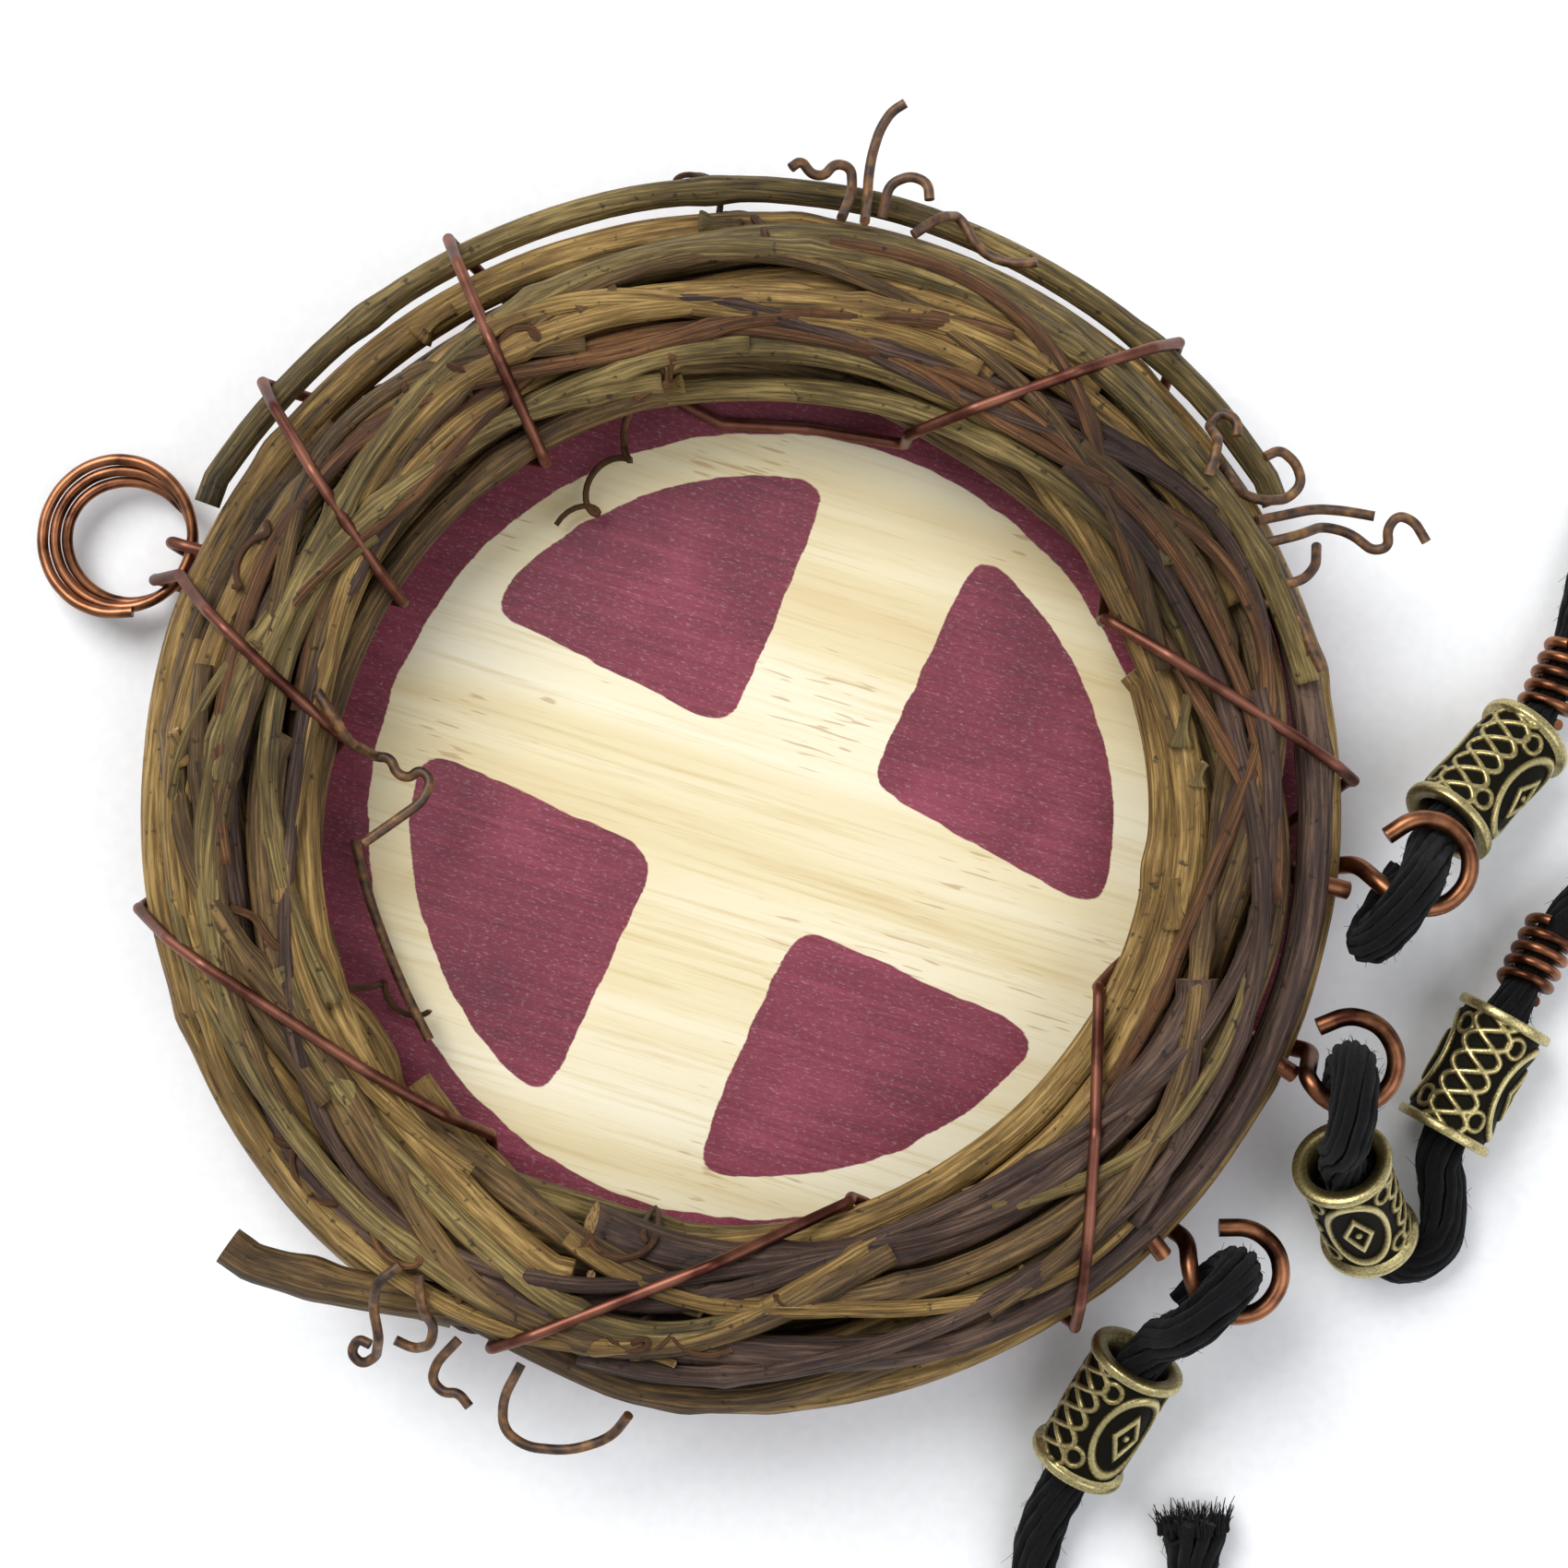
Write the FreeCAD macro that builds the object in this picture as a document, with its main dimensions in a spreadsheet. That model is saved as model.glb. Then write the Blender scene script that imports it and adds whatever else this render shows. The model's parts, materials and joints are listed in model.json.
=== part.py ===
"""Wreath wall hanging: a painted wood disc glued behind a ring of wound vines.

The piece lies on its back. The origin is the centre of the disc's back face and +Z points out of the
painted face. The hanging ring is on the -X side and the three hooks with beaded cords on the +X side.
Lengths are millimetres. Angles are degrees anticlockwise from +X about the wreath's own centre.
"""

import FreeCAD
import Part

import math
import os

import Sketcher

SIZES = {
    "disc_dia": 101.6,
    "disc_thick": 4.8,
    "disc_edge_round": 0.7,
    "wreath_mean_radius": 44.4,
    "wreath_shift_x": -1.8,
    "wreath_shift_y": 1.25,
    "bundle_half_wide": 8.9,
    "bundle_half_high": 7.8,
    "vine_gap": 0.3,
    "outer_vine_lift": -2.0,
    "lacing_dia": 1.05,
    "lacing_gap": 0.15,
    "lacing_bend_radius": 1.3,
    "ring_wire_dia": 1.02,
    "ring_mean_radius": 6.3,
    "ring_turns": 2.7,
    "ring_turn_gap": 0.1,
    "ring_height": 3.4,
    "eye_clear": 0.4,
    "hook_wire_dia": 1.6,
    "hook_ring_radius": 3.9,
    "hook_clear": 0.4,
    "bead_length": 12.2,
    "bead_rim_dia": 9.0,
    "bead_barrel_dia": 8.2,
    "bead_bore_dia": 6.3,
    "bead_rim_wide": 0.9,
    "cord_dia": 4.2,
    "cord_waist_dia": 3.1,
    "coil_wire_dia": 1.0,
    "coil_clear": 0.1,
    "coil_pitch": 1.4,
    "coil_turns": 4.6,
    "rim_run_radius": 35.0,
    "glue_dia": 5.0,
    "tendril_dia": 0.9,
    "tendril_gap": 0.5,
}

STATION = 10  # degrees between the places where a vine's route is settled

# Vines wound through the bundle: name, diameter, first and last angle, depth (1 is the bundle's skin),
# section angle at the first place and section degrees gained per degree round the wreath.
WOUND_VINES = [
    ("vine_01", 3.4, 30, 350, 0.80, 0, 1.00),
    ("vine_02", 3.2, 170, 490, 0.85, 150, -0.80),
    ("vine_03", 3.0, 60, 380, 0.85, 60, 0.45),
    ("vine_04", 3.2, 150, 480, 0.80, 120, -0.55),
    ("vine_05", 2.8, 100, 430, 0.85, 165, -0.35),
    ("vine_06", 2.6, 10, 340, 0.45, 80, 0.50),
    ("vine_07", 3.0, 80, 400, 0.80, 200, 0.30),
    ("vine_08", 2.5, 240, 560, 0.85, 30, 0.55),
    ("vine_09", 3.0, 30, 350, 0.80, 270, 0.25),
    ("vine_10", 2.4, 120, 450, 0.40, 200, -0.60),
    ("vine_11", 2.9, 130, 440, 0.80, 310, 0.20),
    ("vine_12", 3.1, 220, 560, 0.80, 225, 0.20),
    ("vine_13", 2.3, 290, 620, 0.85, 90, 0.60),
]
# Vines laid over the front: name, diameter, then places as angle and distance outward of the mean radius.
LAID_VINES = [
    ("vine_front_long", 3.5, [
        (50, 4), (60, 7), (75, 7.2), (85, 6.8), (100, 3), (117, -2), (137, -5), (160, -6.6),
        (190, -7), (205, -6.2), (214, -4.2), (230, -1.5), (242, 2.5), (250, 5.5),
    ]),
    ("vine_dark", 3.9, [
        (250, -4.0), (270, -2.2), (286, -0.5), (301, 0.6), (310, -0.8), (324, -3), (345, -3.5),
    ]),
    ("vine_front_cut", 3.0, [(256, 7), (275, -0.5), (293, -2.5), (310, -3.5), (325, -5)]),
    ("vine_front_inner", 3.1, [(30, -1), (50, -3.5), (70, -4.5), (90, -4.5), (104, -4)]),
    ("vine_front_right", 3.2, [(-60, -2), (-30, -0.5), (0, 0), (25, -1), (45, 0), (62, 1)]),
]
OUTER_VINE = ("vine_outer", 3.4, 255, 600)
# A vine whose cut end stands out past the outer vine, which it crosses over the front.
STUB_VINE = ("vine_stub", 3.5, [(220, 15.2), (230, 9.6), (240, 5.2), (250, 2.8), (260, 1.4), (270, 0.8)])
# A loose end that lies outside the outer vine: name, diameter, then angle and distance outward.
LOOSE_VINE = ("vine_loose", 2.4, [(30, 10.6), (60, 10.6), (90, 10.9), (120, 10.7), (150, 10.6)])
HOOK_SECTOR = (-62, 12)  # the other vines stand off from the outer vine where the hooks go round it

# Wraps of the lacing wire: angle where each climbs outside and angle where it comes down inside.
WRAPS = [(157, 169), (189, 232), (245, 286), (303, 334), (363, 388), (407, 426), (477, 479), (498, 508)]
RIM_RUN_AFTER = 5  # after this wrap the wire lies along the disc inside the wreath
RIM_RUN_ANGLES = [440, 453, 465]
RING_ANGLE = 156.0
RING_START = 50  # the ring's wire starts this far round from the wreath
EYE_ANGLES = (-14, 14)  # the two wire eyes, about the ring's own centre

# The hooks, the cords, the beads and the tendrils have places that fit this outer radius of the wreath. They
# move outward with it.
FITTED_RADIUS = 53.3
# Hooks: name, angle on the wreath, ring centre.
HOOKS = [
    ("hook_a", -6, (58.4, -3.2, 13.6)),
    ("hook_b", -24, (51.4, -20.4, 17.0)),
    ("hook_c", -45, (41.9, -39.2, 12.5)),
]

# Cord routes as places of the cord's middle, from the fold round the hook's ring to the frayed end.
CORDS = {
    "cord_a": [
        (57.7, -4.2, 8.9), (54.9, -8.2, 9.0), (53.2, -10.6, 13.2), (54.7, -8.5, 17.9),
        (57.2, -5.0, 18.2), (58.5, -3.1, 13.9), (59.3, -1.4, 9.8), (69.9, 9.1, 3.9),
        (73.8, 16.8, 2.9), (75.6, 25.0, 2.2), (79.8, 32.4, 2.1), (82.0, 39.0, 2.1),
    ],
    "cord_b": [
        (51.5, -24.6, 12.4), (51.6, -21.5, 11.8), (51.6, -20.2, 16.6), (51.3, -22.2, 21.4),
        (50.6, -27.4, 21.0), (50.5, -28.5, 14.5), (55.2, -37.8, 3.6), (57.9, -39.9, 2.3),
        (61.6, -37.9, 2.4), (61.6, -32.9, 3.6), (60.5, -29.0, 4.6), (67.9, -15.6, 4.6),
        (72.0, -8.4, 3.0), (78.6, -4.0, 2.2), (84.6, -3.0, 2.1),
    ],
    "cord_c": [
        (37.8, -43.2, 8.1), (41.2, -39.9, 8.2), (42.4, -38.7, 12.6), (41.0, -40.2, 17.0),
        (37.3, -44.0, 17.0), (34.6, -45.6, 9.8), (27.4, -58.5, 3.8), (24.2, -66.0, 2.2),
        (25.2, -73.5, 2.1), (31.5, -77.6, 2.1), (37.8, -74.2, 2.1), (39.3, -67.2, 2.1),
        (39.0, -62.8, 2.1),
    ],
}
COIL_RUNS = {"cord_a": 7, "cord_b": 11}  # the run of the route that carries the wire coil

# Beads: name, cord, middle of the mouth, heading on the plane and fall below the level.
BEADS = [
    ("bead_a", "cord_a", (60.9, 0.2, 9.0), 44.7, 22.0),
    ("bead_b_lower", "cord_b", (51.0, -29.4, 13.4), -63.4, 46.0),
    ("bead_b_upper", "cord_b", (61.2, -27.7, 4.6), 61.0, 0.0),
    ("bead_c", "cord_c", (33.6, -47.3, 9.0), 241.8, 22.0),
]

GLUE_ANGLES = [161, 210, 265, 320, 15, 57, 92]

# Tendrils: each node's strands, as the height where no vine is below and the places on the plane.
TENDRILS = {
    "tendril_top": [
        (14.0, [
            (9.0, 52.6), (9.3, 55.0), (9.4, 57.0), (9.7, 58.9), (10.4, 61.1), (11.4, 62.6),
            (12.6, 63.3),
        ]),
        (14.0, [
            (7.0, 52.9), (8.0, 55.8), (7.9, 57.8), (6.5, 58.2), (5.5, 57.0), (4.4, 57.1),
            (3.5, 58.3), (2.6, 57.6),
        ]),
        (15.0, [(10.6, 53.4), (11.2, 56.3), (13.1, 57.0), (14.6, 56.3), (14.7, 54.8)]),
        (14.0, [
            (13.2, 51.4), (15.6, 53.1), (17.2, 53.5), (18.0, 52.5), (18.5, 51.2), (19.8, 50.0), (21.8, 49.2),
            (24.1, 49.3),
        ]),
    ],
    "tendril_right": [
        (14.0, [(38.6, 30.4), (39.5, 33.3), (39.2, 35.2), (40.2, 36.4), (41.6, 35.7), (41.6, 34.2)]),
        (14.0, [
            (40.3, 31.4), (40.9, 29.9), (42.0, 28.9), (43.7, 28.4), (46.0, 28.7), (47.3, 30.0), (46.8, 31.8),
            (45.3, 33.0), (43.9, 32.3),
        ]),
        (16.0, [(42.9, 26.6), (45.2, 27.1), (48.2, 27.8), (50.8, 27.6), (53.4, 27.1)]),
        (14.0, [
            (43.2, 24.6), (46.4, 25.3), (49.2, 26.4), (51.6, 25.8), (53.5, 24.2), (54.9, 24.5), (54.7, 26.1),
            (55.6, 27.3), (57.0, 26.7), (58.0, 24.9),
        ]),
        (14.0, [(42.6, 22.2), (44.5, 21.1), (46.8, 21.3), (48.2, 22.7), (48.6, 24.6)]),
        (14.0, [(42.4, 19.6), (45.0, 19.3), (46.8, 17.9), (47.4, 15.8), (48.5, 13.6)]),
    ],
    "tendril_lower": [
        (14.0, [
            (-31.0, -37.6), (-33.1, -39.1), (-33.6, -41.6), (-33.1, -44.1), (-33.7, -46.3), (-34.9, -47.0),
            (-35.9, -45.9), (-35.2, -44.6), (-34.1, -45.1),
        ]),
        (15.0, [
            (-29.4, -38.4), (-29.2, -41.3), (-28.3, -43.2), (-28.7, -44.9), (-30.3, -45.5),
            (-31.9, -44.7),
        ]),
        (13.0, [
            (-26.6, -45.0), (-28.5, -47.0), (-29.0, -48.6), (-27.9, -49.7), (-26.6, -49.6),
            (-25.6, -50.8),
        ]),
        (12.0, [
            (-21.2, -47.4), (-22.8, -50.4), (-22.8, -53.1), (-20.7, -54.6), (-16.8, -54.9), (-13.2, -53.7),
            (-11.6, -51.4),
        ]),
    ],
    "tendril_inner": [
        (12.5, [
            (-38.3, 11.8), (-36.8, 9.6), (-35.7, 7.5), (-33.9, 6.2), (-32.6, 6.1), (-32.0, 4.7), (-30.9, 4.3),
            (-29.9, 5.1), (-28.9, 4.2), (-29.6, 2.3), (-32.1, 0.5), (-34.8, -1.4),
        ]),
        (7.0, [(-36.4, -1.2), (-35.7, -4.3), (-34.7, -7.5), (-33.0, -12.0), (-31.4, -15.6), (-29.6, -19.0)]),
    ],
}

doc = FreeCAD.newDocument("wreath_hanging")
sheet = doc.addObject("Spreadsheet::Sheet", "sizes")
made = []


def fill_sheet():
    """Puts the driving sizes in the sheet, one per row, each with its alias."""
    vines = WOUND_VINES + LAID_VINES + [OUTER_VINE, STUB_VINE, LOOSE_VINE]
    rows = list(SIZES.items()) + [(vine[0] + "_dia", vine[1]) for vine in vines]
    for row, (alias, value) in enumerate(rows, start=1):
        sheet.set(f"A{row}", alias)
        sheet.set(f"B{row}", str(value))
        sheet.setAlias(f"B{row}", alias)
    doc.recompute()


def size(alias):
    """The sheet's number for an alias."""
    return float(sheet.get(alias))


def keep(part, label):
    """Labels a finished sub-part and keeps it for the export."""
    part.Label = label
    made.append(part)
    return part


def vec(x, y, z=0.0):
    return FreeCAD.Vector(x, y, z)


def level(angle):
    """The level unit vector at an angle."""
    return vec(math.cos(math.radians(angle)), math.sin(math.radians(angle)))


def on_wreath(angle, radius, height):
    """A point at an angle and radius about the wreath's centre."""
    return vec(size("wreath_shift_x"), size("wreath_shift_y")) + level(angle) * radius + vec(0, 0, height)


def outward():
    """How far the wreath's outside is from the radius that the hooks' and cords' places fit."""
    return size("wreath_mean_radius") + size("bundle_half_wide") - FITTED_RADIUS


def hang_shift(name):
    """How far a hook and what hangs from it move with the wreath. The name's letter tells which hook."""
    letter = name.split("_")[1]
    angle = next(a for hook, a, _ in HOOKS if hook.endswith("_" + letter))
    return level(angle) * outward()


def lacing_low():
    """Height of the lacing wire's middle where it lies on the disc."""
    return size("disc_thick") + size("lacing_gap") + size("lacing_dia") / 2


def bundle_height():
    """Height of the bundle's middle: it lies on the lacing wire."""
    return lacing_low() + size("lacing_dia") / 2 + size("lacing_gap") + size("bundle_half_high")


# ---------------------------------------------------------------- tubes along routes


def rounded_path(points, share=0.45, largest=1e6):
    """A wire through the points with each corner rounded by a tangent arc, and the arcs' radii."""
    edges = []
    radii = []
    start = points[0]
    for before, corner, after in zip(points, points[1:], points[2:]):
        back = before - corner
        on = after - corner
        turn = math.pi - back.getAngle(on)
        if turn < 1e-3:
            continue
        cut = min(share * min(back.Length, on.Length), largest * math.tan(turn / 2))
        radius = cut / math.tan(turn / 2)
        back.normalize()
        on.normalize()
        inward = back + on
        inward.normalize()
        middle = corner + inward * (radius / math.cos(turn / 2) - radius)
        first = corner + back * cut
        last = corner + on * cut
        if (first - start).Length > 1e-5:
            edges.append(Part.LineSegment(start, first).toShape())
        edges.append(Part.Arc(first, middle, last).toShape())
        radii.append(radius)
        start = last
    if (points[-1] - start).Length > 1e-5:
        edges.append(Part.LineSegment(start, points[-1]).toShape())
    return Part.Wire(edges), radii


def tube(label, points, diameter, share=0.45, largest=1e6):
    """A round bar swept along a rounded route. diameter is the alias of its size in the sheet."""
    path = doc.addObject("Part::Feature", label + "_path")
    path.Shape, radii = rounded_path(points, share, largest)
    ring = doc.addObject("Part::Circle", label + "_section")
    ring.setExpression("Radius", f"sizes.{diameter} / 2")
    along = points[1] - points[0]
    ring.Placement = FreeCAD.Placement(points[0], FreeCAD.Rotation(vec(0, 0, 1), along))
    bar = doc.addObject("Part::Sweep", label + "_bar")
    bar.Sections = [ring]
    bar.Spine = (path, [f"Edge{n + 1}" for n in range(len(path.Shape.Edges))])
    bar.Solid = True
    bar.Frenet = False
    doc.recompute()
    whole = math.pi * size(diameter) ** 2 / 4 * path.Shape.Length
    if abs(bar.Shape.Volume / whole - 1) > 0.01:
        print(f"{label}: volume {bar.Shape.Volume:.1f}, section times length {whole:.1f}")
    return bar, path, radii


# ---------------------------------------------------------------- vines


class Strand:
    """One vine's route as places in the bundle's section, one for each station that it passes."""

    def __init__(self, name, diameter, first, last, wish, pull):
        self.name = name
        self.radius = diameter / 2
        self.first = round(first / STATION)
        self.count = round(last / STATION) - self.first + 1
        self.wish = [wish((self.first + k) * STATION) for k in range(self.count)]
        self.place = [list(p) for p in self.wish]
        self.pull = pull

    @property
    def pinned(self):
        return self.pull == 1


def wound_wish(depth, angle, gain, first):
    """Where a wound vine lies if nothing pushes it: an oval helix inside the bundle."""

    def wish(at):
        around = math.radians(angle + gain * (at - first))
        wide = depth * (size("bundle_half_wide") - 1.5)
        high = depth * (size("bundle_half_high") - 1.5)
        return [wide * math.cos(around), high * math.sin(around)]

    return wish


def outward_at(places, at):
    """The distance outward of the mean radius at an angle, from a laid vine's places."""
    for (a, p), (b, q) in zip(places, places[1:]):
        if at <= b:
            return p + (q - p) * max(0.0, at - a) / (b - a)
    return places[-1][1]


def laid_wish(places, radius):
    """Where a laid vine lies: over the front, at the distances of its places."""

    def wish(at):
        across = outward_at(places, at)
        wide = size("bundle_half_wide") - radius
        high = size("bundle_half_high") - radius
        return [across, high * math.sqrt(max(0.0, 1 - (across / wide) ** 2))]

    return wish


def outer_wish(at):
    """The outer vine runs along the bundle's outside all the way."""
    return [size("bundle_half_wide") - size("vine_outer_dia") / 2, size("outer_vine_lift")]


def loose_wish(at):
    """The loose end lies outside the outer vine, a little above it."""
    return [outward_at(LOOSE_VINE[2], at), size("outer_vine_lift") + size("vine_gap")]


def stub_wish(at):
    """The stub vine crosses over the outer vine with the vines' gap."""
    clear = (size("vine_outer_dia") + size("vine_stub_dia")) / 2 + 1.4 * size("vine_gap")
    return [outward_at(STUB_VINE[2], at), size("outer_vine_lift") + clear]


def gap_between(one, two, at):
    """The gap that two vines keep, wide beside the outer vine where hooks go round it."""
    turned = (at - HOOK_SECTOR[0]) % 360
    if (one.pinned or two.pinned) and turned <= HOOK_SECTOR[1] - HOOK_SECTOR[0]:
        return size("hook_wire_dia") + 2 * size("hook_clear")
    return size("vine_gap")


def smooth(strand, ease):
    """Draws each place towards the middle of its neighbours and towards where it would lie."""
    place = strand.place
    last = len(place) - 1
    for k, here in enumerate(place):
        before = place[max(k - 1, 0)]
        after = place[min(k + 1, last)]
        for axis in (0, 1):
            middle = (before[axis] + after[axis]) / 2
            here[axis] += (0.12 + 0.3 * ease) * (middle - here[axis])
            here[axis] += strand.pull * ease * (strand.wish[k][axis] - here[axis])


def push_apart(one, i, two, j, share, gap, run):
    """Moves two vines apart at a share of the way from one station to the next."""
    a, b = one.place[i], one.place[i + 1]
    c, d = two.place[j], two.place[j + 1]
    rest = 1 - share
    across = rest * (c[0] - a[0]) + share * (d[0] - b[0])
    up = rest * (c[1] - a[1]) + share * (d[1] - b[1])
    apart = math.hypot(across, up)
    need = one.radius + two.radius + gap
    if apart > 1.35 * need:
        return 0.0
    apart = max(apart, 1e-3)
    climb = ((b[0] - a[0] + d[0] - c[0]) * across + (b[1] - a[1] + d[1] - c[1]) * up) / (2 * run * apart)
    need *= math.sqrt(1 + climb * climb)
    if apart >= need:
        return 0.0
    push = (need - apart) / apart / (rest * rest + share * share)
    one_share = 0.0 if one.pinned else (1.0 if two.pinned else 0.5)
    two_share = 0.0 if two.pinned else (1.0 if one.pinned else 0.5)
    for ends, weight in (((a, c), rest), ((b, d), share)):
        step = push * weight
        ends[0][0] -= one_share * step * across
        ends[0][1] -= one_share * step * up
        ends[1][0] += two_share * step * across
        ends[1][1] += two_share * step * up
    return need - apart


def settle(strands, rounds=260):
    """Pushes the vines apart all along until none overlap, keeping each route smooth."""
    half_wide = size("bundle_half_wide")
    half_high = size("bundle_half_high")
    run = math.radians(STATION) * size("wreath_mean_radius")
    turn = 360 // STATION
    pairs = []
    for n, one in enumerate(strands):
        for two in strands[n:]:
            for i in range(one.count - 1):
                for j in range(two.count - 1):
                    same = (one.first + i - two.first - j) % turn == 0
                    if same and not (one is two and j <= i):
                        gap = gap_between(one, two, (one.first + i + 0.5) * STATION)
                        pairs.append((one, i, two, j, gap))
    worst = 0.0
    for step in range(rounds):
        ease = max(0.0, 1 - step / (0.7 * rounds))
        for strand in strands:
            if not strand.pinned:
                smooth(strand, ease)
        for _ in range(3):
            worst = 0.0
            for one, i, two, j, gap in pairs:
                for share in (0.0, 0.33, 0.67):
                    worst = max(worst, push_apart(one, i, two, j, share, gap, run))
            for strand in strands:
                if not strand.pinned:
                    for place in strand.place:
                        wide = half_wide - strand.radius
                        high = half_high - strand.radius
                        reach = math.hypot(place[0] / wide, place[1] / high)
                        if reach > 1:
                            place[0] /= reach
                            place[1] /= reach
    print(f"vines settled: the tightest pair misses its gap by {worst:.2f} mm")


def vine_points(strand):
    """A settled vine's route in space."""
    mean = size("wreath_mean_radius")
    height = bundle_height()
    return [
        on_wreath((strand.first + k) * STATION, mean + across, height + up)
        for k, (across, up) in enumerate(strand.place)
    ]


def make_vines():
    """The wreath's vines, settled together and swept one by one. Returns their routes and radii."""
    name, _, first, last = OUTER_VINE
    strands = [Strand(name, size(name + "_dia"), first, last, outer_wish, 1)]
    name, _, places = STUB_VINE
    strands.append(Strand(name, size(name + "_dia"), places[0][0], places[-1][0], stub_wish, 1))
    name, _, places = LOOSE_VINE
    strands.append(Strand(name, size(name + "_dia"), places[0][0], places[-1][0], loose_wish, 1))
    for name, _, places in LAID_VINES:
        dia = size(name + "_dia")
        strands.append(Strand(name, dia, places[0][0], places[-1][0], laid_wish(places, dia / 2), 0.25))
    for name, _, first, last, depth, angle, gain in WOUND_VINES:
        wish = wound_wish(depth, angle, gain, first)
        strands.append(Strand(name, size(name + "_dia"), first, last, wish, 0.04))
    settle(strands)
    routes = []
    for strand in strands:
        points = vine_points(strand)
        bar, path, _ = tube(strand.name, points, strand.name + "_dia")
        keep(bar, strand.name)
        routes.append((path, strand.radius))
    return routes


# ---------------------------------------------------------------- lacing wire


def bundle_samples(routes):
    """Points close together along every vine's middle, each with the vine's radius."""
    samples = []
    for path, radius in routes:
        samples += [(point, radius) for point in path.Shape.discretize(Distance=0.9)]
    return samples


class Lacing:
    """The wire's route round the bundle, clear of every vine by the lacing gap."""

    def __init__(self, samples):
        self.centre = on_wreath(0, 0, 0)
        self.reach = size("lacing_dia") / 2 + size("lacing_gap")
        self.samples = samples

    def leg(self, angle, outside):
        """Where the wire stands beside the bundle, on its outside or its inside."""
        out = level(angle)
        along = level(angle + 90)
        sign = 1 if outside else -1
        best = -1e6
        for point, radius in self.samples:
            off = point - self.centre
            aside = off.dot(along)
            need = radius + self.reach
            if abs(aside) < need and off.dot(out) > 0:
                best = max(best, sign * off.dot(out) + math.sqrt(need * need - aside * aside))
        return on_wreath(angle, sign * best, 0)

    def chain(self, start, end, over):
        """Corners of the tightest run between two legs, over the front or under the back."""
        span = end - start
        length = span.Length
        along = span * (1 / length)
        across = vec(-along.y, along.x)
        discs = []
        for point, radius in self.samples:
            off = point - start
            aside = off.dot(across)
            need = radius + self.reach
            if abs(aside) < need and 0 < off.dot(along) < length:
                discs.append((off.dot(along), point.z, math.sqrt(need * need - aside * aside)))
        turns = (150, 120, 90, 60, 30) if over else (210, 240, 270, 300, 330)
        lines = [(-1.0, 0.0, 0.0)]
        for turn in turns:
            c = math.cos(math.radians(turn))
            s = math.sin(math.radians(turn))
            held = max(t * c + z * s + room for t, z, room in discs)
            lines.append((c, s, -lacing_low() if turn == 270 else held))
        lines.append((1.0, 0.0, length))
        corners = []
        for (c, s, held), (e, f, kept) in zip(lines, lines[1:]):
            det = c * f - e * s
            t = (held * f - kept * s) / det
            z = (c * kept - e * held) / det
            corner = start + along * t + vec(0, 0, max(z, lacing_low()))
            if not corners or (corner - corners[-1]).Length > 0.9:
                corners.append(corner)
        return corners


def ring_frame():
    """The hanging ring's centre, and the direction from it to the wreath as an angle."""
    out = size("wreath_mean_radius") + size("bundle_half_wide") + size("lacing_dia") + size("eye_clear")
    return on_wreath(RING_ANGLE, out + size("ring_mean_radius"), size("ring_height")), RING_ANGLE + 180


def ring_point(around):
    """The ring wire's middle after an angle of winding. The turns stack at the wreath and fan out away."""
    centre, facing = ring_frame()
    pitch = size("ring_wire_dia") + size("ring_turn_gap")
    offset = pitch * (around / 360 - size("ring_turns") / 2)
    alpha = around + RING_START
    lean = math.radians(90 * (1 - math.cos(math.radians(alpha))) / 2)
    radius = size("ring_mean_radius") + offset * math.sin(lean)
    return centre + level(facing + alpha) * radius + vec(0, 0, offset * math.cos(lean))


def eye_radius():
    """The wire eyes go round two turns of the ring with room to swing."""
    bunch = (size("ring_wire_dia") * 2 + size("ring_turn_gap")) / 2
    return bunch + size("eye_clear") + size("lacing_dia") / 2


def eye_points(alpha, first, last, drift):
    """Corners of an eye round the ring, between two angles in the upright plane that cuts the ring."""
    centre, facing = ring_frame()
    middle = centre + level(facing + alpha) * size("ring_mean_radius")
    out = level(RING_ANGLE)
    side = level(RING_ANGLE + 90)
    count = 7
    step = (last - first) / count
    reach = eye_radius() / math.cos(math.radians(step / 2))
    points = []
    for k in range(count + 1):
        turn = math.radians(first + k * step)
        shift = side * (drift * k / count)
        points.append(middle + out * (reach * math.cos(turn)) + vec(0, 0, reach * math.sin(turn)) + shift)
    return points


def make_lacing(samples):
    """One wire: an eye on the ring, eight wraps round the bundle and another eye on the ring.

    Returns its route and its radius.
    """
    lacing = Lacing(samples)
    points = eye_points(EYE_ANGLES[0], 110, 385, 0.9)
    inner = None
    for n, (outside, inside) in enumerate(WRAPS):
        outer = lacing.leg(outside, True)
        if inner is not None:
            lie = [on_wreath(a, size("rim_run_radius"), lacing_low()) for a in RIM_RUN_ANGLES]
            if n == RIM_RUN_AFTER + 1:
                points += [inner + vec(0, 0, lacing_low() + 2.0)] + lie[:-1]
                points += lacing.chain(lie[-1] - vec(0, 0, lacing_low()), outer, False)[-3:]
            else:
                points += lacing.chain(inner, outer, False)
        inner = lacing.leg(inside, False)
        points += lacing.chain(outer, inner, True)
    end = eye_points(EYE_ANGLES[1], 75, -200, 0.9)
    points += lacing.chain(inner, vec(end[0].x, end[0].y), False)[:-2]
    points += end
    bar, path, _ = tube("lacing_wire", points, "lacing_dia", 0.48, size("lacing_bend_radius"))
    keep(bar, "lacing_wire")
    return path, size("lacing_dia") / 2


def make_ring():
    """The hanging ring: a wire wound nearly three times round."""
    steps = round(size("ring_turns") * 16)
    points = [ring_point(360 * size("ring_turns") * k / steps) for k in range(steps + 1)]
    keep(tube("hanging_ring", points, "ring_wire_dia")[0], "hanging_ring")


# ---------------------------------------------------------------- hooks


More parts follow.
